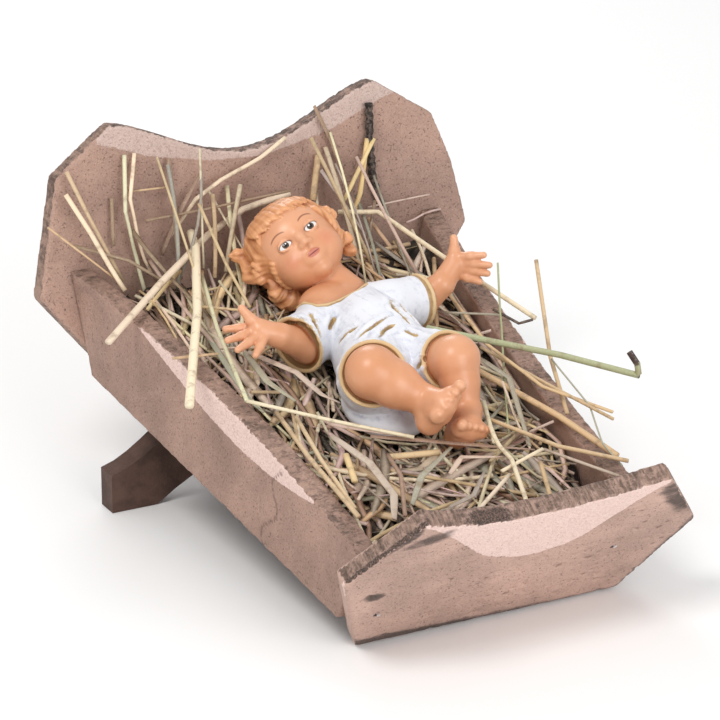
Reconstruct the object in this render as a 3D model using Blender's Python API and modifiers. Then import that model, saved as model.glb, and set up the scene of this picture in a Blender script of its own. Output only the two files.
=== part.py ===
"""Painted infant figurine lying on straw in a rustic board manger that stands on an arched foot."""
import math
import bpy
import bmesh
import numpy as np
from mathutils import Matrix, Vector
from mathutils.bvhtree import BVHTree

# Manger: overall
CRIB_TILT = math.radians(10.35)
CRIB_LENGTH = 0.2141
GAP = 0.0003

# Headboard: half widths and heights of its outline, in its own leaning plane
HEAD_LEAN = math.radians(20.0)
HEAD_T = 0.0104
HEAD_TOP_HALF = 0.068
HEAD_TOP_V = 0.1155
HEAD_SHOULDER_HALF = 0.0973
HEAD_SHOULDER_V = 0.0952
HEAD_MID_HALF = 0.1111
HEAD_MID_V = 0.0406
HEAD_LOW_HALF = 0.073
HEAD_LOW_V = -0.010
HEAD_SCOOP = 0.022
HEAD_ROLL = math.radians(0.65)

# Footboard
FOOT_LEAN = math.radians(23.3)
FOOT_T = 0.0093
FOOT_TOP_HALF = 0.0592
FOOT_TOP_V = 0.0764
FOOT_MID_HALF = 0.0862
FOOT_MID_V = 0.039
FOOT_LOW_HALF = 0.0642
FOOT_LOW_V = -0.0108
FOOT_SCOOP = 0.0088
FOOT_ROLL = math.radians(-2.2)

# Side boards: half widths of the manger, outside, at the top and bottom of each end
SIDE_T = 0.0109
SIDE_H_HEAD = 0.0481
SIDE_H_FOOT = 0.0376
HEAD_HALF_TOP = 0.0964
HEAD_HALF_BOTTOM = 0.0907
FOOT_HALF_TOP = 0.0705
FOOT_HALF_BOTTOM = 0.0724
SIDE_BOW_LEFT = 0.0086
SIDE_BOW_RIGHT = 0.0062
SIDE_STATIONS = 14

# Floor board between the side boards
FLOOR_T = 0.006

# Arched foot across the underside
ARCH_FRONT_Y = 0.1754
ARCH_T = 0.012
ARCH_HALF = 0.0977
ARCH_END_H = 0.0184
ARCH_PAD = 0.0225
ARCH_SEAT_HALF = 0.046
ARCH_RISE = 0.027

# Brad nails in the footboard
NAIL_R = 0.0009
NAIL_LEN = 0.0042
NAIL_SINK = 0.0006
NAIL_SPOTS = ((0.0258 - FOOT_MID_HALF, 0.0133), (FOOT_MID_HALF - 0.0362, 0.0272))

# Twig against the headboard
TWIG_R = 0.0021

# Infant figure
FIGURE_LENGTH = 0.180
FIGURE_AT = (0.005, 0.120, 0.030)
FIGURE_VOXEL = 0.0008
FIGURE_FACES = 6200
K = FIGURE_LENGTH / 180.0

# Straw bed
BED_CELL = 0.0068
BED_RIM_DROP = 0.011
BED_CLEAR = 0.0012

# Long straws, as points along each in the manger's frame
GREEN_STRAW = ((0.0310, 0.1230, 0.0535), (0.0520, 0.0939, 0.0580), (0.0688, 0.0701, 0.0620),
               (0.0895, 0.0375, 0.0660), (0.0890, 0.0391, 0.0710), (0.0866, 0.0430, 0.0755))
UPRIGHT_STRAW = ((0.0645, 0.0520, 0.0430), (0.0715, 0.0820, 0.0540), (0.0793, 0.1152, 0.0840))
LEANING_STRAW = ((0.0560, 0.1160, 0.0425), (0.0625, 0.0680, 0.0495), (0.0714, 0.0262, 0.0540))
LOW_STRAW = ((0.0310, 0.0610, 0.0415), (0.0455, 0.0270, 0.0450), (0.0667, 0.0035, 0.0470))
BENT_STRAW = ((0.0358, CRIB_LENGTH + 0.0082, 0.0600), (0.0539, CRIB_LENGTH + 0.0022, 0.0600),
              (0.0683, CRIB_LENGTH - 0.0481, 0.0560), (0.0837, CRIB_LENGTH - 0.0972, 0.0520))


for old in list(bpy.data.objects):
    bpy.data.objects.remove(old, do_unlink=True)

parts = bpy.data.collections.new("infant_in_manger")
bpy.context.scene.collection.children.link(parts)
cutters = bpy.data.collections.new("cutters")
bpy.context.scene.collection.children.link(cutters)


# Materials
def material(name, colour, roughness):
    mat = bpy.data.materials.new(name)
    mat.use_nodes = True
    shader = mat.node_tree.nodes["Principled BSDF"]
    shader.inputs["Base Color"].default_value = (*colour, 1.0)
    shader.inputs["Roughness"].default_value = roughness
    return mat


# Placing: the manger's own frame, tipped so that its head end is raised
def lean_up(lean):
    return Vector((0.0, math.sin(lean), math.cos(lean)))


FOOT_UP = lean_up(-FOOT_LEAN)
FOOT_OUT = Vector((0.0, -FOOT_UP.z, FOOT_UP.y))
HEAD_UP = lean_up(HEAD_LEAN)
HEAD_OUT = Vector((0.0, HEAD_UP.z, -HEAD_UP.y))
TIP = Matrix.Rotation(CRIB_TILT, 4, "X")
LOW_EDGE = TIP @ (FOOT_UP * FOOT_LOW_V + FOOT_OUT * FOOT_T)
CRIB = Matrix.Translation((0.0, -LOW_EDGE.y, -LOW_EDGE.z)) @ TIP


def finish(obj, mat, group=parts):
    obj.data.materials.append(mat)
    group.objects.link(obj)
    return obj


def mesh_object(name, bm, mat, matrix=CRIB, group=parts):
    bmesh.ops.recalc_face_normals(bm, faces=bm.faces)
    mesh = bpy.data.meshes.new(name)
    bm.to_mesh(mesh)
    bm.free()
    obj = bpy.data.objects.new(name, mesh)
    obj.matrix_world = matrix
    return finish(obj, mat, group)


def apply_modifiers(obj):
    bpy.context.view_layer.update()
    graph = bpy.context.evaluated_depsgraph_get()
    baked = bpy.data.meshes.new_from_object(obj.evaluated_get(graph))
    obj.modifiers.clear()
    obj.data = baked


def cut_with(obj, cutter):
    cutter.display_type = "WIRE"
    cutter.hide_render = True
    mod = obj.modifiers.new("cut", "BOOLEAN")
    mod.operation = "DIFFERENCE"
    mod.solver = "EXACT"
    mod.object = cutter
    apply_modifiers(obj)


# A board cut from a flat outline, given as points across and up its own leaning face
def slab(name, outline, across, up, out, base, thickness, mat, bevel):
    bm = bmesh.new()
    front = [bm.verts.new(base + across * u + up * v) for u, v in outline]
    face = bm.faces.new(front)
    grown = bmesh.ops.extrude_face_region(bm, geom=[face])
    moved = [g for g in grown["geom"] if isinstance(g, bmesh.types.BMVert)]
    bmesh.ops.translate(bm, verts=moved, vec=out * thickness)
    bmesh.ops.recalc_face_normals(bm, faces=bm.faces)
    bmesh.ops.bevel(bm, geom=list(bm.edges), offset=bevel, offset_type="OFFSET", segments=1,
                    profile=0.5, affect="EDGES", clamp_overlap=True, material=-1)
    return mesh_object(name, bm, mat)


def scooped_top(half, top, depth, skew, power, count):
    points = []
    for i in range(count + 1):
        s = i / count
        dip = depth * math.sin(math.pi * s ** skew) ** power
        points.append((-half + 2.0 * half * s, top - dip))
    return points


def roll(points, angle, keep_below):
    turned = []
    for u, v in points:
        a = angle if v > keep_below else 0.0
        turned.append((u * math.cos(a) - v * math.sin(a), u * math.sin(a) + v * math.cos(a)))
    return turned


wood = material("painted_board", (0.30, 0.20, 0.165), 0.75)
dark_wood = material("dark_board", (0.14, 0.085, 0.065), 0.75)

# Headboard, leaning back at the raised end
head_outline = scooped_top(HEAD_TOP_HALF, HEAD_TOP_V, HEAD_SCOOP, 1.0, 1.5, 20)
head_outline += [(HEAD_SHOULDER_HALF, HEAD_SHOULDER_V),
                 (HEAD_SHOULDER_HALF + 0.0085, HEAD_MID_V + 0.030),
                 (HEAD_MID_HALF, HEAD_MID_V), (HEAD_LOW_HALF, HEAD_LOW_V),
                 (-HEAD_LOW_HALF, HEAD_LOW_V), (-HEAD_MID_HALF, HEAD_MID_V),
                 (-HEAD_SHOULDER_HALF, HEAD_SHOULDER_V)]
head_outline = roll(head_outline, HEAD_ROLL, 0.0)
HEAD_BASE = Vector((0.0, CRIB_LENGTH + GAP / math.cos(HEAD_LEAN), 0.0))
slab("headboard", head_outline, Vector((1.0, 0.0, 0.0)), HEAD_UP, HEAD_OUT, HEAD_BASE, HEAD_T,
     wood, 0.0009)

# Footboard, leaning out at the low end
foot_outline = scooped_top(FOOT_TOP_HALF, FOOT_TOP_V, FOOT_SCOOP, 0.8, 1.0, 16)
foot_outline += [(FOOT_MID_HALF, FOOT_MID_V), (FOOT_LOW_HALF, FOOT_LOW_V),
                 (-FOOT_LOW_HALF, FOOT_LOW_V), (-FOOT_MID_HALF, FOOT_MID_V)]
foot_outline = roll(foot_outline, FOOT_ROLL, 0.0)
footboard = slab("footboard", foot_outline, Vector((1.0, 0.0, 0.0)), FOOT_UP, FOOT_OUT,
                 Vector((0.0, 0.0, 0.0)), FOOT_T, wood, 0.0008)


# Brad nails: each head lies just below the footboard's outer face in its own small hole
def drum(name, u, v, radius, top, bottom, mat, group):
    bm = bmesh.new()
    middle = FOOT_UP * v + FOOT_OUT * (top + bottom) / 2.0 + Vector((u, 0.0, 0.0))
    turn = FOOT_OUT.to_track_quat("Z", "Y").to_matrix().to_4x4()
    bmesh.ops.create_cone(bm, cap_ends=True, segments=16, radius1=radius, radius2=radius,
                          depth=top - bottom, matrix=Matrix.Translation(middle) @ turn)
    return mesh_object(name, bm, mat, CRIB, group)


steel = material("nail_steel", (0.60, 0.60, 0.62), 0.35)
for side, (u, v) in zip(("left", "right"), NAIL_SPOTS):
    hole = drum("nail_hole_" + side, u, v, NAIL_R + GAP, FOOT_T + 0.002,
                FOOT_T - NAIL_SINK - NAIL_LEN - GAP, steel, cutters)
    cut_with(footboard, hole)
    drum("brad_nail_" + side, u, v, NAIL_R, FOOT_T - NAIL_SINK, FOOT_T - NAIL_SINK - NAIL_LEN,
         steel, parts)


# Side boards: straight along the bottom, the top drawn in a little at mid length
def side_point(sign, s, top, bow):
    half_head = HEAD_HALF_TOP if top else HEAD_HALF_BOTTOM
    half_foot = FOOT_HALF_TOP if top else FOOT_HALF_BOTTOM
    height = (SIDE_H_HEAD * (1.0 - s) + SIDE_H_FOOT * s) if top else 0.0
    head_y = CRIB_LENGTH + height * math.tan(HEAD_LEAN)
    foot_y = -height * math.tan(FOOT_LEAN) + GAP / math.cos(FOOT_LEAN)
    half = half_head * (1.0 - s) + half_foot * s
    half -= bow * 4.0 * s * (1.0 - s) if top else 0.0
    return Vector((sign * half, head_y * (1.0 - s) + foot_y * s, height))


def side_board(name, sign, bow):
    bm = bmesh.new()
    rings = []
    for i in range(SIDE_STATIONS + 1):
        s = i / SIDE_STATIONS
        outer_top = side_point(sign, s, True, bow)
        outer_low = side_point(sign, s, False, bow)
        inward = Vector((-sign * SIDE_T, 0.0, 0.0))
        ring = [bm.verts.new(p) for p in (outer_low, outer_top, outer_top + inward, outer_low + inward)]
        if rings:
            for j in range(4):
                k = (j + 1) % 4
                bm.faces.new((rings[-1][j], rings[-1][k], ring[k], ring[j]))
        rings.append(ring)
    bm.faces.new(rings[0])
    bm.faces.new(list(reversed(rings[-1])))
    bmesh.ops.recalc_face_normals(bm, faces=bm.faces)
    long_edges = [e for e in bm.edges if len(e.link_faces) == 2 and e.calc_face_angle() > 1.2]
    bmesh.ops.bevel(bm, geom=long_edges, offset=0.0008, offset_type="OFFSET", segments=1,
                    profile=0.5, affect="EDGES", clamp_overlap=True, material=-1)
    return mesh_object(name, bm, wood)


side_board("left_side_board", -1.0, SIDE_BOW_LEFT)
side_board("right_side_board", 1.0, SIDE_BOW_RIGHT)

# Floor board, let in between the side boards
FLOOR_MARGIN = SIDE_T + 0.0012
floor_plan = [(-HEAD_HALF_BOTTOM + FLOOR_MARGIN, CRIB_LENGTH - GAP),
              (HEAD_HALF_BOTTOM - FLOOR_MARGIN, CRIB_LENGTH - GAP),
              (FOOT_HALF_BOTTOM - FLOOR_MARGIN, 2.0 * GAP),
              (-FOOT_HALF_BOTTOM + FLOOR_MARGIN, 2.0 * GAP)]
slab("floor_board", floor_plan, Vector((1.0, 0.0, 0.0)), Vector((0.0, 1.0, 0.0)),
     Vector((0.0, 0.0, 1.0)), Vector((0.0, 0.0, 0.0)), FLOOR_T, dark_wood, 0.0004)

# Arched foot: two pads on the ground, its crown cut to the slope of the floor board
crib_floor = CRIB @ Vector((0.0, 0.0, -GAP))
SLOPE = math.tan(CRIB_TILT)


def seat_height(y):
    return crib_floor.z + (y - crib_floor.y) * SLOPE


def arch_outline(y):
    top = seat_height(y)
    shape = []
    for i in range(9):
        s = i / 8
        x = -ARCH_HALF + (ARCH_HALF - ARCH_SEAT_HALF) * s
        ease = s * s * (3.0 - 2.0 * s)
        shape.append((x, ARCH_END_H + (top - ARCH_END_H) * (0.35 * s + 0.65 * ease)))
    shape += [(-x, z) for x, z in reversed(shape)]
    inner = ARCH_HALF - ARCH_PAD
    for i in range(17):
        s = i / 16
        x = inner - 2.0 * inner * s
        shape.append((x, ARCH_RISE * math.sin(math.pi * s) ** 0.9 if 0 < i < 16 else 0.0))
    shape.insert(len(shape) - 17, (ARCH_HALF, 0.0))
    shape.append((-ARCH_HALF, 0.0))
    return shape


bm = bmesh.new()
arch_front = [bm.verts.new((x, ARCH_FRONT_Y, z)) for x, z in arch_outline(ARCH_FRONT_Y)]
arch_back = [bm.verts.new((x, ARCH_FRONT_Y + ARCH_T, z))
             for x, z in arch_outline(ARCH_FRONT_Y + ARCH_T)]
bm.faces.new(arch_front)
bm.faces.new(list(reversed(arch_back)))
for i in range(len(arch_front)):
    j = (i + 1) % len(arch_front)
    bm.faces.new((arch_front[i], arch_front[j], arch_back[j], arch_back[i]))
mesh_object("arched_foot", bm, dark_wood, Matrix.Identity(4))


# Figure: rounded shapes set out from joints given as shares of the figure's length
def point(x, y, z):
    return Vector((x, y, z)) * K


def template(maker, **sizes):
    bm = bmesh.new()
    maker(bm, **sizes)
    bmesh.ops.recalc_face_normals(bm, faces=bm.faces)
    bm.verts.index_update()
    spots = np.array([v.co[:] for v in bm.verts])
    faces = [[v.index for v in f.verts] for f in bm.faces]
    bm.free()
    return spots, faces


ROUND = template(bmesh.ops.create_uvsphere, u_segments=24, v_segments=16, radius=1.0)
TUBE = template(bmesh.ops.create_cone, cap_ends=True, segments=24, radius1=1.0, radius2=1.0, depth=1.0)


def put(shapes, spots, faces, matrix):
    start = sum(len(block) for block in shapes[0])
    turn = np.array(matrix.to_3x3())
    shapes[0].append(spots @ turn.T + np.array(matrix.translation))
    shapes[1].extend([[start + i for i in face] for face in faces])


def ball(shapes, centre, radii, basis=None):
    size = Matrix.Diagonal((radii[0] * K, radii[1] * K, radii[2] * K, 1.0))
    turn = basis.to_4x4() if basis else Matrix.Identity(4)
    put(shapes, ROUND[0], ROUND[1], Matrix.Translation(centre) @ turn @ size)


def limb(shapes, points, radii, ends=True):
    for a, b, ra, rb in zip(points, points[1:], radii, radii[1:]):
        line = b - a
        turn = line.to_track_quat("Z", "Y").to_matrix().to_4x4()
        spots = TUBE[0] * np.array((ra * K, ra * K, line.length))
        spots[TUBE[0][:, 2] > 0.0, :2] *= rb / ra
        put(shapes, spots, TUBE[1], Matrix.Translation((a + b) / 2.0) @ turn)
    last = len(points) if ends else len(points) - 1
    for p, r in list(zip(points, radii))[:last]:
        ball(shapes, p, (r, r, r))


HEAD_AT = point(-6.6, 70.2, 34.0)
CROWN = Vector((-0.361, 0.806, 0.468)).normalized()
FACE = Vector((-0.33, -0.58, 0.745))
FACE = (FACE - CROWN * FACE.dot(CROWN)).normalized()
LEFT = CROWN.cross(FACE)
HEAD_SIZE = 1.06
HEAD_BASIS = Matrix((LEFT, FACE, CROWN)).transposed() * HEAD_SIZE


def on_head(side, front, up):
    return HEAD_AT + HEAD_BASIS @ point(side, front, up)


def head_shell(azimuth, height, swell):
    ring = math.cos(height)
    return on_head(swell * 20.4 * ring * math.sin(azimuth), swell * 21.0 * ring * math.cos(azimuth) - 1.7,
                   swell * 20.9 * math.sin(height) + 1.6)


def add_head(shapes):
    ball(shapes, on_head(0, -1.5, 1.5), (19.0, 19.8, 19.4), HEAD_BASIS)
    ball(shapes, on_head(0, 6.5, -7.0), (15.5, 12.0, 13.2), HEAD_BASIS)
    ball(shapes, on_head(0, 7.0, 5.5), (14.0, 11.8, 11.5), HEAD_BASIS)
    ball(shapes, on_head(0, 12.6, -16.0), (5.0, 4.4, 4.2), HEAD_BASIS)
    for side in (-1, 1):
        ball(shapes, on_head(side * 7.6, 9.8, -8.2), (7.4, 7.4, 7.6), HEAD_BASIS)
        ball(shapes, on_head(side * 7.0, 15.6, 0.0), (3.6, 3.0, 2.7), HEAD_BASIS)
        limb(shapes, [on_head(side * 2.8, 18.4, 4.6), on_head(side * 7.2, 17.4, 5.4),
                  on_head(side * 11.2, 14.4, 3.8)], [1.0, 1.3, 0.9])
        ball(shapes, on_head(side * 18.8, -1.0, -3.2), (2.4, 4.0, 5.6), HEAD_BASIS)
    limb(shapes, [on_head(0, 17.4, 2.6), on_head(0, 19.6, -3.8)], [1.5, 2.4])
    ball(shapes, on_head(0, 18.3, -9.6), (4.2, 1.8, 1.2), HEAD_BASIS)
    ball(shapes, on_head(0, 17.7, -11.8), (3.3, 1.8, 1.2), HEAD_BASIS)
    limb(shapes, [on_head(0, -3.0, -10.0), point(5.5, 44.0, 22.0)], [10.0, 10.5])


def add_hair(shapes):
    ball(shapes, on_head(0, -3.4, 3.2), (20.9, 20.3, 20.5), HEAD_BASIS)
    rows = ((0.98, 9, 0.30), (0.62, 13, 0.0), (0.24, 14, 0.22), (-0.16, 12, 0.0))
    for height, count, shift in rows:
        for i in range(count):
            spread = math.pi * (1.62 if height < 0.5 else 2.0)
            azimuth = math.pi - spread / 2.0 + spread * (i + shift) / count
            near_face = math.cos(azimuth) > 0.55 and height < 0.4
            if near_face:
                continue
            wave = 0.10 * math.sin(3.1 * i + height * 7.0)
            lock = []
            for step in range(5):
                drop = height - 0.14 * step
                turn = azimuth + wave + 0.16 * step * (1.0 if math.sin(azimuth) > 0 else -1.0) * 0.6
                lift = 0.970 + 0.022 * math.sin(1.5 * step + i)
                lock.append(head_shell(turn, drop, lift))
            limb(shapes, lock, [1.4, 2.2, 2.4, 2.0, 1.0])
    for i in range(12):
        azimuth = -1.05 + 0.155 * i
        fringe = [head_shell(azimuth - 0.30, 1.10, 1.0), head_shell(azimuth - 0.14, 0.92, 1.02),
                  head_shell(azimuth + 0.04, 0.75, 1.04), head_shell(azimuth + 0.22, 0.60, 1.05),
                  head_shell(azimuth + 0.36, 0.50 - 0.04 * (i % 3), 1.04)]
        limb(shapes, fringe, [1.2, 1.6, 1.6, 1.3, 0.7])
    for side in (-1, 1):
        for k, (front, up, size) in enumerate(((2.5, 3.0, 3.4), (-1.5, -9.0, 3.2), (-7.5, -12.5, 3.4))):
            ball(shapes, on_head(side * (19.6 - 0.6 * k), front, up), (size, size, size), HEAD_BASIS)
    for spots, radii in SIDE_LOCKS:
        limb(shapes, [on_head(*spot) for spot in spots], radii)


# Three thicker locks on the figure's right: behind the temple, before the ear and at the nape
SIDE_LOCKS = ((((-17.5, -6.0, 12.0), (-21.0, -3.5, 15.5), (-23.8, -2.0, 17.0)), (4.6, 3.2, 1.2)),
              (((-20.5, -3.0, 9.0), (-24.0, -2.0, 4.0), (-22.0, 2.0, -1.0)), (3.2, 3.0, 2.2)),
              (((-18.0, -5.0, -9.0), (-15.5, -4.5, -15.5), (-9.5, -7.0, -19.0)), (4.8, 4.4, 3.4)))

TORSO = [point(4.0, 37.5, 17.0), point(3.8, 22.0, 17.2), point(2.5, 10.0, 17.5), point(1.0, -3.0, 16.0),
         point(3.0, -15.0, 12.0)]
TORSO_R = [15.0, 17.6, 19.8, 21.5, 20.5]
R_SHOULDER = point(-14.5, 30.0, 19.5)
R_ELBOW = point(-26.5, 17.5, 16.5)
R_WRIST = point(-41.5, 15.5, 25.5)
L_SHOULDER = point(20.0, 27.5, 22.5)
L_ELBOW = point(37.0, 30.0, 20.0)
L_WRIST = point(46.1, 27.5, 29.0)
SLEEVES = ((point(-12.0, 27.0, 19.0), point(-31.5, 17.0, 18.0), 12.0, 13.4),
           (L_SHOULDER, point(36.9, 29.8, 21.0), 11.5, 12.0))
R_HIP = point(-7.0, -15.0, 12.0)
R_KNEE = point(-24.0, -38.0, 34.0)
R_ANKLE = point(-6.0, -55.0, 25.5)
L_HIP = point(14.0, -12.0, 12.0)
L_KNEE = point(15.0, -42.0, 35.0)
L_ANKLE = point(14.0, -57.0, 17.0)


# Creases of the gown, along its surface, each between two raised folds
CREASES = (((-24.0, 24.0, 30.9), (-25.7, 13.8, 30.1), (-26.3, 5.1, 21.5)),
           ((-13.2, 17.8, 28.4), (-19.3, 11.8, 26.1)),
           ((-11.1, -1.1, 33.7), (-16.0, 1.2, 28.5), (-18.6, 3.2, 22.5)),
           ((5.4, -2.4, 37.1), (-6.4, -6.4, 35.7), (-18.3, -9.9, 32.5)),
           ((12.9, 21.5, 34.0), (7.9, 2.4, 36.8), (9.8, -11.4, 35.4)),
           ((19.6, 22.1, 32.5), (14.6, 2.7, 34.8), (15.4, -6.8, 33.1)),
           ((4.0, -37.7, 36.9), (1.4, -35.8, 32.5), (0.6, -33.2, 27.3)),
           ((4.3, -12.9, 35.4), (7.9, -21.9, 36.3)),
           ((-31.9, 22.1, 30.6), (-34.2, 10.7, 29.6), (-34.1, 5.2, 23.9)),
           ((-12.7, -19.9, 37.8), (-4.5, -11.6, 36.3), (2.5, -9.0, 36.5)))

# Hem of the gown's neck, from the figure's right shoulder round to its left
COLLAR = ((-22.0, 36.8, 24.5), (-20.8, 33.6, 28.4), (-18.4, 25.6, 30.9), (-14.5, 24.9, 30.9), (-9.1, 26.2, 30.6),
          (-3.7, 25.9, 32.6), (2.5, 27.1, 33.9), (10.3, 34.4, 31.4), (14.5, 41.0, 27.0))


def mix(a, b, t):
    return a * (1.0 - t) + b * t


def add_hand(shapes, wrist, palm, tips, thumb):
    limb(shapes, [wrist, palm], [5.8, 5.4])
    middle = tips[len(tips) // 2] - palm
    across = (tips[0] - tips[-1]).normalized()
    for i, tip in enumerate(tips):
        root = palm + across * (3.6 - 2.4 * i) * K
        bend = mix(root, tip, 0.55) + middle.cross(across).normalized() * 0.6 * K
        limb(shapes, [root, bend, tip], [2.6, 2.2, 1.7])
    limb(shapes, [mix(wrist, palm, 0.5), mix(palm, thumb, 0.5), thumb], [3.4, 2.7, 2.0])


def add_foot(shapes, ankle, heel, big, little):
    ball_of_foot = mix(big, little, 0.45)
    arch = mix(heel, ball_of_foot, 0.5)
    across = (little - big).normalized()
    limb(shapes, [ankle, heel], [7.2, 5.6])
    limb(shapes, [heel, arch, ball_of_foot - (ball_of_foot - heel).normalized() * 3.0 * K], [5.8, 6.0, 5.4])
    limb(shapes, [ankle, mix(ankle, ball_of_foot, 0.7)], [7.2, 5.4])
    limb(shapes, [mix(big, arch, 0.3), mix(little, arch, 0.3)], [4.6, 3.9])
    forward = (ball_of_foot - heel).normalized()
    for i in range(5):
        size = (3.1, 2.4, 2.3, 2.2, 2.0)[i]
        root = mix(big, little, i / 4.0) - across * 0.2 * K
        limb(shapes, [root - forward * 2.0 * K, root + forward * (2.2 - 0.25 * i) * K], [size, size * 0.92])


def add_skin(shapes):
    ball(shapes, point(-4.5, 38.0, 22.8), (15.5, 12.0, 8.6))
    limb(shapes, [R_SHOULDER, R_ELBOW, R_WRIST], [8.8, 7.8, 5.7])
    limb(shapes, [L_SHOULDER, L_ELBOW, L_WRIST], [8.8, 8.0, 5.9])
    add_hand(shapes, R_WRIST, point(-50.5, 18.5, 28.5),
             [point(-64.5, 24.5, 28.5), point(-67.5, 16.0, 28.0), point(-65.5, 9.5, 26.5),
              point(-58.5, 5.5, 24.5)], point(-57.5, 24.0, 38.0))
    add_hand(shapes, L_WRIST, point(54.0, 31.0, 36.0),
             [point(63.8, 23.0, 43.5), point(65.6, 20.0, 39.5), point(64.8, 19.6, 35.5),
              point(61.5, 20.2, 31.5)], point(55.0, 36.0, 47.0))
    limb(shapes, [R_HIP, R_KNEE], [14.0, 11.6])
    limb(shapes, [R_KNEE, mix(R_KNEE, R_ANKLE, 0.45), R_ANKLE], [11.4, 10.4, 6.6])
    limb(shapes, [L_HIP, L_KNEE], [14.0, 10.6])
    limb(shapes, [L_KNEE, mix(L_KNEE, L_ANKLE, 0.45), L_ANKLE], [10.6, 8.6, 6.4])
    add_foot(shapes, R_ANKLE, point(-6.5, -61.0, 18.5), point(2.6, -66.0, 36.0), point(-8.4, -70.5, 27.0))
    add_foot(shapes, L_ANKLE, point(9.0, -60.5, 8.0), point(4.4, -69.0, 18.5), point(16.4, -71.6, 15.5))


def add_gown(shapes):
    limb(shapes, TORSO, TORSO_R)
    limb(shapes, [TORSO[0], R_SHOULDER], [12.5, 11.5])
    limb(shapes, [TORSO[0], L_SHOULDER], [12.5, 11.5])
    for shoulder, rim, inner, outer in SLEEVES:
        limb(shapes, [shoulder, rim], [inner, outer], False)
    limb(shapes, [TORSO[3], mix(R_HIP, R_KNEE, 0.45), mix(R_HIP, R_KNEE, 0.86)], [19.0, 16.6, 14.6], False)
    limb(shapes, [TORSO[3], mix(L_HIP, L_KNEE, 0.45), mix(L_HIP, L_KNEE, 0.84)], [18.0, 15.4, 13.4], False)
    ball(shapes, point(-6.0, -24.0, 6.0), (21.0, 25.0, 10.0), Matrix.Rotation(-0.35, 3, "Z"))
    ball(shapes, point(9.0, -18.0, 7.0), (17.0, 20.0, 10.0))
    limb(shapes, [point(*spot) for spot in COLLAR], [1.1] * len(COLLAR))
    middle = mix(TORSO[1], TORSO[3], 0.5)
    for crease in CREASES:
        line = [point(*spot) for spot in crease]
        along = (line[-1] - line[0]).normalized()
        beside = along.cross(line[0] - middle).normalized() * 2.3 * K
        for way in (-1.0, 1.0):
            radii = [0.9] + [1.7] * (len(line) - 2) + [0.9]
            limb(shapes, [spot + beside * way for spot in line], radii)
    for knee, hip, size in ((R_KNEE, R_HIP, 14.8), (L_KNEE, L_HIP, 13.4)):
        axis = (knee - hip).normalized()
        across = axis.orthogonal().normalized()
        for i in range(8):
            turn = Matrix.Rotation(math.tau * i / 8.0, 3, axis)
            offset = turn @ across
            limb(shapes, [mix(hip, knee, 0.34) + offset * (size + 0.6) * K, mix(hip, knee, 0.84) + offset * (size - 0.4) * K],
                 [0.9, 1.7])


def build_figure():
    shapes = ([], [])
    add_head(shapes)
    add_hair(shapes)
    add_skin(shapes)
    add_gown(shapes)
    paint = material("figure_paint", (0.80, 0.60, 0.48), 0.4)
    mesh = bpy.data.meshes.new("infant_figure")
    mesh.from_pydata(np.concatenate(shapes[0]).tolist(), [], shapes[1])
    obj = bpy.data.objects.new("infant_figure", mesh)
    obj.matrix_world = CRIB @ Matrix.Translation(FIGURE_AT)
    finish(obj, paint)
    remesh = obj.modifiers.new("one skin", "REMESH")
    remesh.mode = "VOXEL"
    remesh.voxel_size = FIGURE_VOXEL
    soften = obj.modifiers.new("soften", "SMOOTH")
    soften.factor = 0.5
    soften.iterations = 3
    apply_modifiers(obj)
    thin = obj.modifiers.new("fewer faces", "DECIMATE")
    thin.ratio = FIGURE_FACES / (2.0 * len(obj.data.polygons))
    apply_modifiers(obj)
    return obj


figure = build_figure()

# Straw bed: a heaped block, pressed down under the figure
bpy.context.view_layer.update()
to_crib = CRIB.inverted() @ figure.matrix_world
figure_tree = BVHTree.FromPolygons([to_crib @ v.co for v in figure.data.vertices],
                                   [p.vertices[:] for p in figure.data.polygons])


def inner_half(y, z, sign):
    bow = SIDE_BOW_LEFT if sign < 0 else SIDE_BOW_RIGHT
    head_y = CRIB_LENGTH + z * math.tan(HEAD_LEAN)
    foot_y = -z * math.tan(FOOT_LEAN)
    s = min(max((head_y - y) / (head_y - foot_y), 0.0), 1.0)
    h = SIDE_H_HEAD * (1.0 - s) + SIDE_H_FOOT * s
    low = side_point(sign, s, False, bow)
    top = side_point(sign, s, True, bow)
    return abs(low.x + (top.x - low.x) * min(z / h, 1.0)) - SIDE_T


def figure_underside(x, y):
    lowest = 1.0
    for dx in (-0.5, 0.0, 0.5):
        for dy in (-0.5, 0.0, 0.5):
            spot = Vector((x + dx * BED_CELL, y + dy * BED_CELL, 0.0))
            hit = figure_tree.ray_cast(spot, Vector((0.0, 0.0, 1.0)))
            if hit[0] is not None:
                lowest = min(lowest, hit[0].z)
    return lowest


def heap(x, y, s):
    edge = SIDE_H_HEAD * (1.0 - s) + SIDE_H_FOOT * s - BED_RIM_DROP
    bumps = 0.0026 * math.sin(280.0 * x + 90.0 * y) + 0.0024 * math.sin(230.0 * y - 140.0 * x + 1.0)
    bumps += 0.0012 * math.sin(330.0 * x - 300.0 * y)
    head_rise = 0.010 * max(0.0, (y - 0.150) / 0.064) ** 1.5
    return edge + bumps + head_rise


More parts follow.
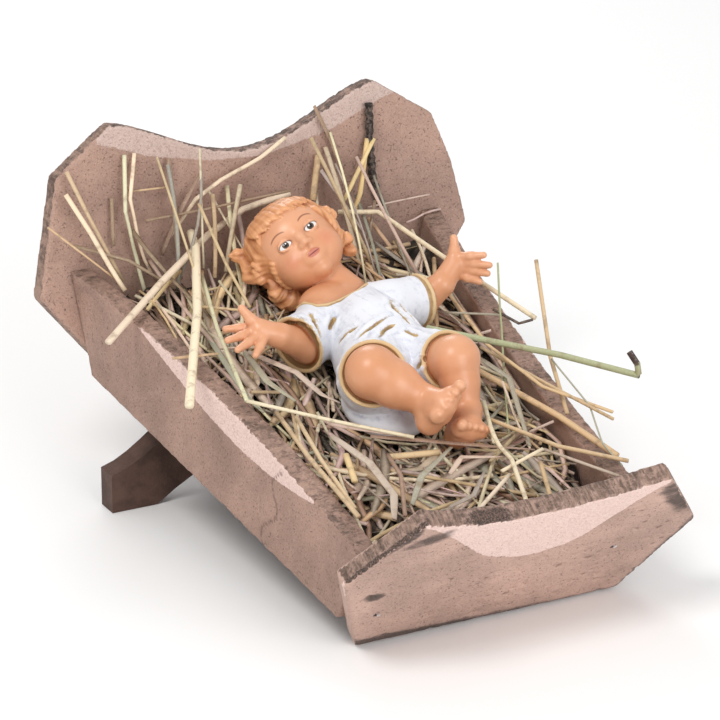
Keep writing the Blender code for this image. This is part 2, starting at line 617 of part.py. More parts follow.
bm = bmesh.new()
rows = int(CRIB_LENGTH / BED_CELL)
columns = int(2.0 * FOOT_HALF_BOTTOM / BED_CELL) + 4
BED_BASE = FLOOR_T + 2.0 * GAP
SLACK = 0.0008
top_rows = []
low_rows = []
for i in range(rows + 1):
    y_low = 0.003 + (CRIB_LENGTH - 0.005) * i / rows
    s = 1.0 - y_low / CRIB_LENGTH
    top_row = []
    low_row = []
    for j in range(columns + 1):
        w = -1.0 + 2.0 * j / columns
        sign = -1.0 if w < 0 else 1.0
        half = min(inner_half(y_low, z, sign) for z in (0.006, 0.020, 0.034, 0.048)) - SLACK
        x = w * half
        z = min(heap(x, y_low, s), figure_underside(x, y_low) - BED_CLEAR)
        z = max(z, BED_BASE + 0.004)
        top_row.append(bm.verts.new((x, y_low, z)))
        low_row.append(bm.verts.new((x, y_low, BED_BASE)) if j in (0, columns) or i in (0, rows) else None)
    top_rows.append(top_row)
    low_rows.append(low_row)
for i in range(rows):
    for j in range(columns):
        bm.faces.new((top_rows[i][j], top_rows[i][j + 1], top_rows[i + 1][j + 1], top_rows[i + 1][j]))
for i in range(rows):
    bm.faces.new((top_rows[i][0], top_rows[i + 1][0], low_rows[i + 1][0], low_rows[i][0]))
    bm.faces.new((top_rows[i + 1][columns], top_rows[i][columns], low_rows[i][columns], low_rows[i + 1][columns]))
for j in range(columns):
    bm.faces.new((top_rows[0][j + 1], top_rows[0][j], low_rows[0][j], low_rows[0][j + 1]))
    bm.faces.new((top_rows[rows][j], top_rows[rows][j + 1], low_rows[rows][j + 1], low_rows[rows][j]))
rim = low_rows[0] + [r[columns] for r in low_rows[1:-1]] + list(reversed(low_rows[rows]))
rim += [r[0] for r in reversed(low_rows[1:-1])]
bm.faces.new(rim)
straw = material("straw", (0.62, 0.50, 0.30), 0.8)
mesh_object("straw_bed", bm, straw)


# Long straws that stand out of the heap: each a capped, tapered tube through set points
def straw_stalk(name, points, radius, mat):
    curve = bpy.data.curves.new(name, "CURVE")
    curve.dimensions = "3D"
    curve.bevel_depth = radius
    curve.bevel_resolution = 1
    curve.use_fill_caps = True
    curve.resolution_u = 3
    curve.render_resolution_u = 3
    line = curve.splines.new("POLY")
    line.points.add(len(points) - 1)
    for spot, p in zip(line.points, points):
        spot.co = (*p, 1.0)
    holder = bpy.data.objects.new(name + "_line", curve)
    cutters.objects.link(holder)
    bpy.context.view_layer.update()
    graph = bpy.context.evaluated_depsgraph_get()
    mesh = bpy.data.meshes.new_from_object(holder.evaluated_get(graph))
    bpy.data.objects.remove(holder, do_unlink=True)
    bm = bmesh.new()
    bm.from_mesh(mesh)
    bmesh.ops.remove_doubles(bm, verts=bm.verts, dist=0.00001)
    return mesh_object(name, bm, mat)


green_straw = material("green_straw", (0.42, 0.42, 0.20), 0.6)
straw_stalk("green_straw_with_knee", GREEN_STRAW, 0.0015, green_straw)
straw_stalk("upright_straw", UPRIGHT_STRAW, 0.0010, straw)
straw_stalk("leaning_straw", LEANING_STRAW, 0.0008, straw)
straw_stalk("low_straw", LOW_STRAW, 0.0010, straw)
straw_stalk("bent_long_straw", BENT_STRAW, 0.0012, straw)

# Twig leaning on the headboard's inner face
twig_bark = material("dark_twig", (0.06, 0.05, 0.045), 0.9)
twig = []
for u, v in ((0.0615, 0.106), (0.0605, 0.088), (0.0605, 0.070), (0.0640, 0.056)):
    twig.append(HEAD_BASE + Vector((u, 0.0, 0.0)) + HEAD_UP * v - HEAD_OUT * (TWIG_R + 2.0 * GAP))
straw_stalk("dark_twig", twig, TWIG_R, twig_bark)

# The middle of the footprint comes to the origin, with the ground at zero
bpy.context.view_layer.update()
low = Vector((9.0, 9.0, 9.0))
high = Vector((-9.0, -9.0, -9.0))
for obj in parts.objects:
    for v in obj.data.vertices:
        w = obj.matrix_world @ v.co
        low = Vector(map(min, low, w))
        high = Vector(map(max, high, w))
SHIFT = Matrix.Translation((-(low.x + high.x) / 2.0, -(low.y + high.y) / 2.0, 0.0))
for obj in parts.objects:
    obj.matrix_world = SHIFT @ obj.matrix_world
for obj in list(cutters.objects):
    obj.matrix_world = SHIFT @ obj.matrix_world
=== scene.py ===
import math
import bpy
import bmesh
import numpy as np
from mathutils import Matrix, Vector
from mathutils.bvhtree import BVHTree


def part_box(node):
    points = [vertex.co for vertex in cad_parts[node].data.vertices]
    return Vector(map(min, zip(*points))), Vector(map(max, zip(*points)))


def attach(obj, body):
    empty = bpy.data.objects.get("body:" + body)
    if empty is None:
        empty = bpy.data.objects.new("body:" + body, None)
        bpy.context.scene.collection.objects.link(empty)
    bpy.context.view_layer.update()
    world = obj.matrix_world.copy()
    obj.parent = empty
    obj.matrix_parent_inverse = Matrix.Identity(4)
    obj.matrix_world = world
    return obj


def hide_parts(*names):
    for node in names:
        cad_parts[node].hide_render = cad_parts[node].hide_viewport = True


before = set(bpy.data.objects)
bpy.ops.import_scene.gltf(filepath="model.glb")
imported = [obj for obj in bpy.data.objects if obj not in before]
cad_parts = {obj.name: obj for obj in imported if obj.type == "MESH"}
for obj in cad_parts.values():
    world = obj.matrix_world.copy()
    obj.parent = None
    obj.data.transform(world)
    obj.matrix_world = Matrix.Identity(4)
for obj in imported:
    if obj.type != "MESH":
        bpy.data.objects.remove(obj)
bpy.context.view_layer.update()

# Camera, light and floor.
# A long lens from the foot end and the figure's right, looking down about 22 degrees.
TILT = math.radians(10.35)
arch_low, arch_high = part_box("arched_foot")
SHIFT = Vector(((arch_low[0] + arch_high[0]) / 2.0, arch_low[1] - 0.1754, 0.0))
MANGER = Matrix.Translation(SHIFT + Vector((0.0, 0.0017572, 0.0141436))) @ Matrix.Rotation(TILT, 4, "X")

cam_data = bpy.data.cameras.new("camera")
cam_data.sensor_width = 36.0
cam_data.lens = 194.68
cam_data.clip_start = 0.05
camera = bpy.data.objects.new("camera", cam_data)
bpy.context.scene.collection.objects.link(camera)
camera.location = Vector((-0.749644, -1.317912, 0.718744)) + SHIFT
camera.rotation_euler = (math.pi / 2.0 - math.radians(21.59956), 0.0, -math.radians(27.554922))
bpy.context.scene.camera = camera


def area_light(name, place, target, size, power, colour):
    data = bpy.data.lights.new(name, "AREA")
    data.shape = "DISK"
    data.size = size
    data.energy = power
    data.color = colour
    obj = bpy.data.objects.new(name, data)
    bpy.context.scene.collection.objects.link(obj)
    obj.location = place
    obj.rotation_euler = (Vector(target) - Vector(place)).to_track_quat("-Z", "Y").to_euler()
    return obj


area_light("key_light", (-0.75, -0.35, 1.25), (0.0, 0.0, 0.05), 0.55, 8.0, (1.0, 0.985, 0.96))
area_light("fill_light", (0.15, -1.5, 0.60), (0.0, 0.0, 0.05), 1.0, 9.5, (0.98, 0.99, 1.0))
area_light("rim_light", (0.3, 1.1, 0.9), (0.0, 0.0, 0.08), 0.6, 4.0, (1.0, 1.0, 1.0))

world = bpy.data.worlds.new("studio")
bpy.context.scene.world = world
world.use_nodes = True
world.node_tree.nodes["Background"].inputs["Color"].default_value = (1.0, 1.0, 1.0, 1.0)
world.node_tree.nodes["Background"].inputs["Strength"].default_value = 0.66
bpy.context.scene.view_settings.view_transform = "Standard"

bm = bmesh.new()
bmesh.ops.create_grid(bm, x_segments=1, y_segments=1, size=6.0,
                      matrix=Matrix.Translation((0.0, 3.0, -0.0002)))
floor_mesh = bpy.data.meshes.new("floor")
bm.to_mesh(floor_mesh)
bm.free()
floor = bpy.data.objects.new("floor", floor_mesh)
bpy.context.scene.collection.objects.link(floor)
floor_mat = bpy.data.materials.new("floor")
floor_mat.use_nodes = True
floor_mat.node_tree.nodes["Principled BSDF"].inputs["Base Color"].default_value = (0.93, 0.93, 0.93, 1.0)
floor_mat.node_tree.nodes["Principled BSDF"].inputs["Roughness"].default_value = 0.9
floor_mesh.materials.append(floor_mat)


# Boards of the manger.
# Fibreboard cut by hand, painted mauve-brown, its top edges torn, charred dark and brushed
# with a pale peach band below the scoops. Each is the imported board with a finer, rougher skin.
class Graph:
    def __init__(self, name, roughness=0.6):
        self.mat = bpy.data.materials.new(name)
        self.mat.use_nodes = True
        self.tree = self.mat.node_tree
        self.shader = self.tree.nodes["Principled BSDF"]
        self.shader.inputs["Roughness"].default_value = roughness

    def link(self, value, socket):
        if isinstance(value, bpy.types.NodeSocket):
            self.tree.links.new(value, socket)
        elif isinstance(value, tuple):
            needs_alpha = len(value) == 3 and len(socket.default_value) == 4
            socket.default_value = (*value, 1.0) if needs_alpha else value
        else:
            socket.default_value = value

    def feed(self, name, value):
        self.link(value, self.shader.inputs[name])

    def math(self, op, a, b=0.0, c=None, clamp=False):
        node = self.tree.nodes.new("ShaderNodeMath")
        node.operation = op
        node.use_clamp = clamp
        self.link(a, node.inputs[0])
        self.link(b, node.inputs[1])
        if c is not None:
            self.link(c, node.inputs[2])
        return node.outputs[0]

    def ramp(self, value, low, high):
        node = self.tree.nodes.new("ShaderNodeMapRange")
        node.interpolation_type = "SMOOTHSTEP"
        self.link(value, node.inputs["Value"])
        node.inputs["From Min"].default_value = low
        node.inputs["From Max"].default_value = high
        return node.outputs["Result"]

    def mix(self, mask, a, b):
        node = self.tree.nodes.new("ShaderNodeMix")
        node.data_type = "RGBA"
        self.link(mask, node.inputs[0])
        self.link(a, node.inputs[6])
        self.link(b, node.inputs[7])
        return node.outputs[2]

    def coat(self, base, mask, colour, amount=1.0):
        return self.mix(mask if amount == 1.0 else self.times(mask, amount), base, colour)

    def times(self, first, *others):
        for other in others:
            first = self.math("MULTIPLY", first, other)
        return first

    def frayed(self, name, noise, amount):
        return self.math("MULTIPLY_ADD", noise, amount, self.attribute(name))

    def attribute(self, name, out="Fac"):
        node = self.tree.nodes.new("ShaderNodeAttribute")
        node.attribute_name = name
        return node.outputs[out]

    def where(self, scale=(1.0, 1.0, 1.0), turn=(0.0, 0.0, 0.0)):
        coords = self.tree.nodes.new("ShaderNodeTexCoord")
        mapping = self.tree.nodes.new("ShaderNodeMapping")
        self.tree.links.new(coords.outputs["Object"], mapping.inputs["Vector"])
        mapping.inputs["Scale"].default_value = scale
        mapping.inputs["Rotation"].default_value = turn
        return mapping.outputs["Vector"]

    def noise(self, scale, detail=4.0, rough=0.55, stretch=(1.0, 1.0, 1.0), turn=(0.0, 0.0, 0.0)):
        node = self.tree.nodes.new("ShaderNodeTexNoise")
        self.tree.links.new(self.where(stretch, turn), node.inputs["Vector"])
        node.inputs["Scale"].default_value = scale
        node.inputs["Detail"].default_value = detail
        node.inputs["Roughness"].default_value = rough
        return node.outputs["Fac"]

    def bump(self, height, distance, strength=1.0):
        node = self.tree.nodes.new("ShaderNodeBump")
        node.inputs["Distance"].default_value = distance
        node.inputs["Strength"].default_value = strength
        self.link(height, node.inputs["Height"])
        self.tree.links.new(node.outputs["Normal"], self.shader.inputs["Normal"])


def ripple(points, wavelength, seed, waves=9):
    rng = np.random.default_rng(seed)
    total = np.zeros(len(points))
    for _ in range(waves):
        way = rng.normal(size=3)
        way /= np.linalg.norm(way)
        size = rng.uniform(0.7, 1.5)
        total += np.sin(points @ way * (math.tau / (wavelength * size)) + rng.uniform(0.0, math.tau))
    return total / math.sqrt(waves)


def mesh_points(mesh):
    flat = np.empty(len(mesh.vertices) * 3)
    mesh.vertices.foreach_get("co", flat)
    return flat.reshape(-1, 3)


def mesh_normals(mesh):
    flat = np.empty(len(mesh.vertices) * 3)
    mesh.vertices.foreach_get("normal", flat)
    return flat.reshape(-1, 3)


def keep(mesh, name, values):
    layer = mesh.attributes.new(name, "FLOAT", "POINT")
    layer.data.foreach_set("value", np.asarray(values, dtype=np.float32))


def remeshed(name, mesh, voxel):
    holder = bpy.data.objects.new(name + "_rough", mesh)
    bpy.context.scene.collection.objects.link(holder)
    mod = holder.modifiers.new("skin", "REMESH")
    mod.mode = "VOXEL"
    mod.voxel_size = voxel
    bpy.context.view_layer.update()
    graph = bpy.context.evaluated_depsgraph_get()
    fine = bpy.data.meshes.new_from_object(holder.evaluated_get(graph))
    bpy.data.objects.remove(holder, do_unlink=True)
    return fine


def smooth_object(name, mesh, mat, slot_name, *nodes):
    obj = bpy.data.objects.new(name, mesh)
    bpy.context.scene.collection.objects.link(obj)
    mesh.materials.clear()
    mesh.materials.append(mat)
    mesh.polygons.foreach_set("use_smooth", np.ones(len(mesh.polygons), dtype=bool))
    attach(obj, "root")
    if nodes:
        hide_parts(*nodes)
    return obj


def welded(name):
    mesh = bpy.data.meshes.new(name + "_source")
    bm = bmesh.new()
    bm.from_mesh(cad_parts[name].data)
    bmesh.ops.remove_doubles(bm, verts=bm.verts, dist=0.00001)
    bm.to_mesh(mesh)
    bm.free()
    return mesh


# The end boards' leans and the trough's length are the part's own.
HEAD_LEAN = math.radians(20.0)
FOOT_LEAN = math.radians(23.3)
HEAD_UP = Vector((0.0, math.sin(HEAD_LEAN), math.cos(HEAD_LEAN)))
FOOT_UP = Vector((0.0, -math.sin(FOOT_LEAN), math.cos(FOOT_LEAN)))
TROUGH_LENGTH = 0.2141
to_manger = np.array(MANGER.inverted())
from_manger = np.array(MANGER)


def into(matrix, points):
    return points @ matrix[:3, :3].T + matrix[:3, 3]


# Lower edges of the pale bands, across and up each leaning board.
HEAD_BAND = ((-0.0752, 0.1077), (-0.0492, 0.0974), (-0.0200, 0.0910), (0.0072, 0.0889), (0.0417, 0.0953),
             (0.0786, 0.1091))
FOOT_BAND = ((-0.0604, 0.0758), (-0.0441, 0.0636), (-0.0216, 0.0425), (0.0010, 0.0350), (0.0245, 0.0400),
             (0.0452, 0.0625), (0.0592, 0.0745))


def edge_line(u, spots):
    across, rise = np.array(spots).T
    line = sum(np.interp(u + shift, across, rise) for shift in (-0.006, -0.003, 0.0, 0.003, 0.006)) / 5.0
    return np.where((u > across[0]) & (u < across[-1]), line, 1.0)


def leaning_fields(p, up, base_y, out_sign, half, top, depth, skew, power, turn):
    u0 = p[:, 0]
    v0 = (p - np.array((0.0, base_y, 0.0))) @ np.array(up)
    u = u0 * math.cos(turn) + v0 * math.sin(turn)
    v = v0 * math.cos(turn) - u0 * math.sin(turn)
    s = unit((u + half) / (2.0 * half))
    edge = top - depth * np.sin(math.pi * s ** skew) ** power
    beyond = np.clip(np.abs(u) - half, 0.0, None)
    edge = edge - beyond * (0.69 if out_sign > 0 else 1.38)
    out = np.array((0.0, up.z * out_sign, -up.y * out_sign))
    w = (p - np.array((0.0, base_y, 0.0))) @ out
    return u, v, edge - v, w


def board_material(name, dark, pale_tones=((0.87, 0.66, 0.60), (0.72, 0.52, 0.46))):
    g = Graph(name, 0.72)
    tone = g.noise(28.0, 5.0, 0.6)
    grain = g.noise(1300.0, 4.0, 0.75)
    speck = g.noise(1050.0, 2.0, 0.5)
    blotch = g.noise(75.0, 4.0, 0.65)
    base = g.mix(g.ramp(tone, 0.35, 0.68), tuple(0.82 * c for c in dark), tuple(1.14 * c for c in dark))
    base = g.coat(base, g.ramp(blotch, 0.50, 0.74), (0.47, 0.315, 0.250), 0.40)
    base = g.coat(base, g.ramp(grain, 0.50, 0.30), (0.17, 0.095, 0.070), 0.45)
    base = g.coat(base, g.ramp(grain, 0.55, 0.72), (0.62, 0.46, 0.39), 0.50)
    base = g.coat(base, g.ramp(speck, 0.65, 0.72), (0.090, 0.050, 0.038), 0.75)
    pale = g.mix(g.ramp(grain, 0.38, 0.62), *pale_tones)
    base = g.coat(base, g.ramp(g.frayed("pale", g.noise(420.0, 4.0, 0.65), 0.9), 0.80, 1.04), pale, 0.92)
    soot = g.mix(g.ramp(grain, 0.42, 0.66), (0.018, 0.012, 0.010), (0.20, 0.12, 0.09))
    base = g.coat(base, g.ramp(g.frayed("char", g.noise(190.0, 5.0, 0.7), 1.5), 1.22, 1.62), soot, 0.93)
    hairs = g.noise(520.0, 4.0, 0.7, (1.0, 0.10, 0.25) if "end" in name else (0.10, 1.0, 0.25))
    fibre = g.mix(g.ramp(hairs, 0.38, 0.66), (0.066, 0.038, 0.028), (0.335, 0.220, 0.165))
    base = g.coat(base, g.ramp(g.frayed("torn", g.noise(330.0, 5.0, 0.7), 1.2), 1.15, 1.55), fibre, 0.9)
    stain = g.frayed("stain", g.noise(60.0, 5.0, 0.7, (1.0, 1.0, 3.0)), 1.2)
    base = g.coat(base, g.ramp(stain, 1.16, 1.62), (0.05, 0.035, 0.03), 0.88)
    base = g.coat(base, g.ramp(g.frayed("groove", grain, 0.45), 0.62, 1.00), (0.175, 0.100, 0.076), 0.55)
    # Dark spot by each nail: the nail hole and a painted shadow of its head.
    base = g.coat(base, g.ramp(g.frayed("brad_hole_shadow", grain, 0.25), 1.05, 0.75), (0.060, 0.042, 0.036))
    g.feed("Base Color", base)
    height = g.math("ADD", g.times(grain, 0.5), g.times(blotch, 0.7))
    height = g.math("SUBTRACT", height, g.times(g.ramp(speck, 0.60, 0.68), 0.9))
    height = g.math("SUBTRACT", height, g.times(g.attribute("groove"), 1.5))
    g.bump(height, 0.00026, 0.9)
    return g.mat


board_paint = board_material("side_board_paint", (0.375, 0.235, 0.182))
end_paint = board_material("end_board_paint", (0.415, 0.262, 0.205),
                           ((0.63, 0.485, 0.43), (0.50, 0.365, 0.32)))
# A lighter copy of the same paint for the footboard: painted light on its outward face.
lit_foot_paint = board_material("lit_foot_end_paint", (0.520, 0.345, 0.280))

SPECS = {
    "headboard": (HEAD_UP, TROUGH_LENGTH, 1.0, 0.068, 0.1155, 0.022, 1.0, 1.5, math.radians(0.65)),
    "footboard": (FOOT_UP, 0.0, -1.0, 0.0592, 0.0764, 0.0088, 0.8, 1.0, math.radians(-2.2)),
}

BRAD_SPOTS = ((-0.0609, 0.0110), (0.0489, 0.0291))
SIDE_HIGH, SIDE_LOW = 0.0481, 0.0376
BOARD_VOXEL = 0.00125


def unit(values):
    return np.clip(values, 0.0, 1.0)


class Skin:
    """A board's finer skin: its points in the trough's frame, and how far across, up and out they lie."""

    def __init__(self, name):
        self.mesh = remeshed(name, welded(name), BOARD_VOXEL)
        self.p = into(to_manger, mesh_points(self.mesh))
        self.normals = mesh_normals(self.mesh) @ to_manger[:3, :3].T
        if name in SPECS:
            up = np.array(SPECS[name][0])
            self.u, self.v, self.drop, self.w = leaning_fields(self.p, *SPECS[name])
            out = np.cross((1.0, 0.0, 0.0), up) * -SPECS[name][2]
        else:
            self.sign = -1.0 if name.startswith("left") else 1.0
            up = np.array((0.0, 0.0, 1.0))
            self.s = unit(1.0 - self.p[:, 1] / TROUGH_LENGTH)
            self.v = self.p[:, 2]
            self.drop = SIDE_HIGH * (1.0 - self.s) + SIDE_LOW * self.s - self.v
            out = np.array((self.sign, 0.0, 0.0))
        self.top_facing = unit(self.normals @ up)
        self.facing_out = self.normals @ out
        self.outer = self.facing_out > 0.5
        self.rim = 1.0 - np.abs(self.facing_out)
        chips = np.clip(ripple(self.p, 0.0052, 11) * 0.5 + ripple(self.p, 0.0022, 12) * 0.5, -0.2, 1.6)
        bite = unit(1.0 - self.drop / 0.0032) * (0.00022 + 0.00062 * np.clip(chips, 0.0, 2.0))
        self.moved = self.p - bite[:, None] * up
        self.sink(unit(ripple(self.p, 0.012, 13) - 1.25) * 0.0009 * self.rim)
        self.sink(np.abs(ripple(self.p, 0.017, 14)) * 0.00012)

    def sink(self, depth):
        self.moved -= self.normals * depth[:, None]


def headboard_marks(b):
    scoop = (np.abs(b.u) < 0.0675) & (b.top_facing > 0.45)
    back = unit((b.w - 0.0076) / 0.0012)
    ends = (b.rim > 0.5) * (np.abs(b.u) > 0.0675)
    return {"pale": unit((b.v - edge_line(b.u, HEAD_BAND)) / 0.0030 + 0.5) * (b.facing_out < -0.5),
            "char": np.maximum.reduce((scoop * back * 1.1, 0.45 * ends, scoop * 0.75)),
            "torn": 0.85 * ends,
            "stain": 0.25 * unit(1.0 - np.abs(b.drop - 0.0002) / 0.002)}


def footboard_marks(b):
    u, v = b.u, b.v
    pale = unit((v - edge_line(u, FOOT_BAND)) / 0.0026 + 0.5) * b.outer * (b.drop > 0.0006)
    pale = pale * (u > -0.0600) * (u < 0.0610)
    pale = np.maximum(pale, 0.8 * (b.normals[:, 0] < -0.85) * (v > 0.028) * (b.w > 0.0064))
    on_top = b.top_facing > 0.45
    burnt = np.exp(-((u + 0.026) / 0.010) ** 2) * unit((b.w - 0.0015) / 0.002)
    burnt = np.maximum(burnt, (u < -0.0585) * unit((b.w - 0.0062) / 0.0018))
    slope_edge = 0.0455 + (u + 0.0875) * 0.965
    strip = np.clip(1.50 - np.abs(slope_edge - v) / 0.0050, 0.0, 1.2) * unit((-0.056 - u) / 0.006)
    smudge = 1.45 - np.hypot((u + 0.0554) / 0.0160, (v - 0.0632 - 0.22 * (u + 0.0554)) / 0.0052)
    far_end = 1.40 - np.hypot((u - 0.070) / 0.020, (v - 0.0585 + 0.8 * (u - 0.070)) / 0.0115)
    small = 1.30 - np.hypot((u + 0.0679) / 1.7, v - 0.0258) / 0.0050
    low = 0.85 - (v + 0.0080) / 0.0060
    right = 0.80 - (0.0860 - 0.42 * (0.047 - v) - u) / 0.0075
    stain = np.maximum.reduce((strip, smudge, far_end, small, low, right * (v < 0.047)))
    plain = b.outer * (pale < 0.3)
    chipped = np.clip(ripple(b.p * np.array((0.55, 1.0, 1.9)), 0.0055, 31), 0.0, 2.0)
    groove = unit(chipped * np.clip((u + 0.045) / 0.03, 0.15, 1.0) - 0.9) * plain
    dents = np.clip(ripple(b.p * np.array((0.6, 1.0, 1.6)), 0.0065, 32) - 0.8, 0.0, 1.2) * plain
    b.sink(dents * 0.00095 + groove * 0.00045)
    # Dark spot left of and below each nail head: the nail hole and a painted shadow of the head.
    brad_hole_shadow = np.minimum.reduce([np.hypot((u - at_u + 0.0009) / 1.4, v - at_v + 0.0006)
                              for at_u, at_v in BRAD_SPOTS])
    return {"pale": pale, "char": on_top * (0.32 + 0.85 * burnt) + 0.18 * (b.rim > 0.5),
            "torn": 0.88 * on_top * (1.0 - 0.85 * burnt), "stain": unit(stain) * b.outer, "groove": groove,
            "brad_hole_shadow": np.minimum(brad_hole_shadow / 0.0012, 4.0)}


def side_board_marks(b):
    y = b.p[:, 1]
    sag = 0.0118 * np.sin(math.pi * unit((0.86 - b.s) / 0.72) ** 0.9) ** 0.9
    saw = np.sin(y * 3500.0) * unit(1.0 - b.s / 0.16) * b.outer
    crack = np.abs(y - 0.060 - 0.004 * np.sin(b.v * 260.0)) < 0.0006
    char = 0.62 * (b.top_facing > 0.5) * (0.5 + 0.5 * np.sin(y * 90.0))
    return {"pale": unit((sag - b.drop) / 0.0020 + 0.5) * (sag > 0.0003) * (b.drop > 0.0004) * b.outer,
            "char": char + 0.50 * (np.abs(b.normals[:, 1]) > 0.6),
            "torn": 0.72 * (b.top_facing > 0.5),
            "groove": 0.5 * unit(saw) + 1.4 * crack * (b.drop > 0.004) * (b.sign < 0) * b.outer}


for board, marks, board_mat in (("headboard", headboard_marks, end_paint),
                                ("footboard", footboard_marks, lit_foot_paint),
                                ("left_side_board", side_board_marks, board_paint),
                                ("right_side_board", side_board_marks, board_paint)):
    skin = Skin(board)
    fields = {"stain": 0.0, "groove": 0.0, "brad_hole_shadow": 4.0, **marks(skin)}
    for key, values in fields.items():
        keep(skin.mesh, key, np.broadcast_to(values, len(skin.p)))
    skin.mesh.vertices.foreach_set("co", into(from_manger, skin.moved).ravel())
    skin.mesh.update()
    smooth_object("rough_" + board, skin.mesh, board_mat, "painted_board", board)


# Arched foot and hidden floor board.
# The same board stained much darker; the foot is nailed across the underside.
dark = Graph("dark_board_paint", 0.7)
dark_tone = dark.noise(55.0, 5.0, 0.65)
dark_grain = dark.noise(800.0, 3.0, 0.7)
dark_base = dark.mix(dark.ramp(dark_tone, 0.35, 0.65), (0.060, 0.029, 0.020), (0.115, 0.060, 0.042))
dark_base = dark.coat(dark_base, dark.ramp(dark_grain, 0.6, 0.75), (0.20, 0.12, 0.09), 0.4)
dark.feed("Base Color", dark_base)
dark.bump(dark.math("ADD", dark_grain, dark_tone), 0.0002, 0.8)
for node in ("arched_foot", "floor_board"):
    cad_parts[node].data.materials.clear()
    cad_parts[node].data.materials.append(dark.mat)


# Infant figure.
# One resin casting, painted by hand: satin flesh, swept hair in carved locks, and a white gown
# dry-brushed over grey-blue, with ochre-gold in the folds and along every hem.
# Painted shade darkens the hollows of flesh, hair and gown, painted highlights lighten the raised parts,
# and each eye has a painted white glint.
# The shapes are the part's own, in millimetres, blended and given finer locks and folds.
def template(maker, **sizes):
    bm = bmesh.new()
    maker(bm, **sizes)
    bmesh.ops.recalc_face_normals(bm, faces=bm.faces)
    bm.verts.index_update()
    spots = np.array([v.co[:] for v in bm.verts])
    faces = [[v.index for v in f.verts] for f in bm.faces]
    bm.free()
    return spots, faces


ROUND = template(bmesh.ops.create_uvsphere, u_segments=24, v_segments=16, radius=1.0)
TUBE = template(bmesh.ops.create_cone, cap_ends=True, segments=24, radius1=1.0, radius2=1.0, depth=1.0)
FIGURE = MANGER @ Matrix.Translation((0.005, 0.120, 0.030)) @ Matrix.Scale(0.001, 4)
solids = [[], []]
forms = {}


def put(template_mesh, spots, matrix):
    start = sum(len(block) for block in solids[0])
    turn = np.array(matrix.to_3x3())
    solids[0].append(spots @ turn.T + np.array(matrix.translation))
    solids[1].extend([[start + i for i in face] for face in template_mesh[1]])


def ball(group, centre, radii, basis=None, cut=False):
    turn = basis.to_4x4() if basis else Matrix.Identity(4)
    size = basis.col[0].length if basis else 1.0
    frame3 = basis * (1.0 / size) if basis else Matrix.Identity(3)
    forms.setdefault(group, []).append(("ball", centre, [r * size for r in radii], frame3, cut))
    if not cut:
        put(ROUND, ROUND[0], Matrix.Translation(centre) @ turn @ Matrix.Diagonal((*radii, 1.0)))


def limb(group, points, radii, ends=True):
    last = len(points) - 2
    strand = len(forms.get(group, []))
    for i, (a, b, ra, rb) in enumerate(zip(points, points[1:], radii, radii[1:])):
        line = b - a
        flat = not ends and i == last
        forms.setdefault(group, []).append(("limb", a, b, ra, rb, flat, strand))
        turn = line.to_track_quat("Z", "Y").to_matrix().to_4x4()
        spots = TUBE[0] * np.array((ra, ra, line.length))
        spots[TUBE[0][:, 2] > 0.0, :2] *= rb / ra
        put(TUBE, spots, Matrix.Translation((a + b) / 2.0) @ turn)
    for p, r in list(zip(points, radii))[:len(points) if ends else len(points) - 1]:
        put(ROUND, ROUND[0] * r, Matrix.Translation(p))


def mix(a, b, t):
    return a * (1.0 - t) + b * t


def point(x, y, z):
    return Vector((x, y, z))


HEAD_AT = point(-6.6, 70.2, 34.0)
CROWN = Vector((-0.361, 0.806, 0.468)).normalized()
FACE = Vector((-0.33, -0.58, 0.745))
FACE = (FACE - CROWN * FACE.dot(CROWN)).normalized()
LEFT = CROWN.cross(FACE)
HEAD_SIZE = 1.06
HEAD_BASIS = Matrix((LEFT, FACE, CROWN)).transposed() * HEAD_SIZE


def on_head(side, front, up):
    return HEAD_AT + HEAD_BASIS @ point(side, front, up)


def head_shell(azimuth, height, swell):
    ring = math.cos(height)
    return on_head(swell * 20.4 * ring * math.sin(azimuth), swell * 21.0 * ring * math.cos(azimuth) - 1.7,
                   swell * 20.9 * math.sin(height) + 1.6)


EYE_SIDE, EYE_UP, EYE_FRONT = 7.0, 0.2, 14.3


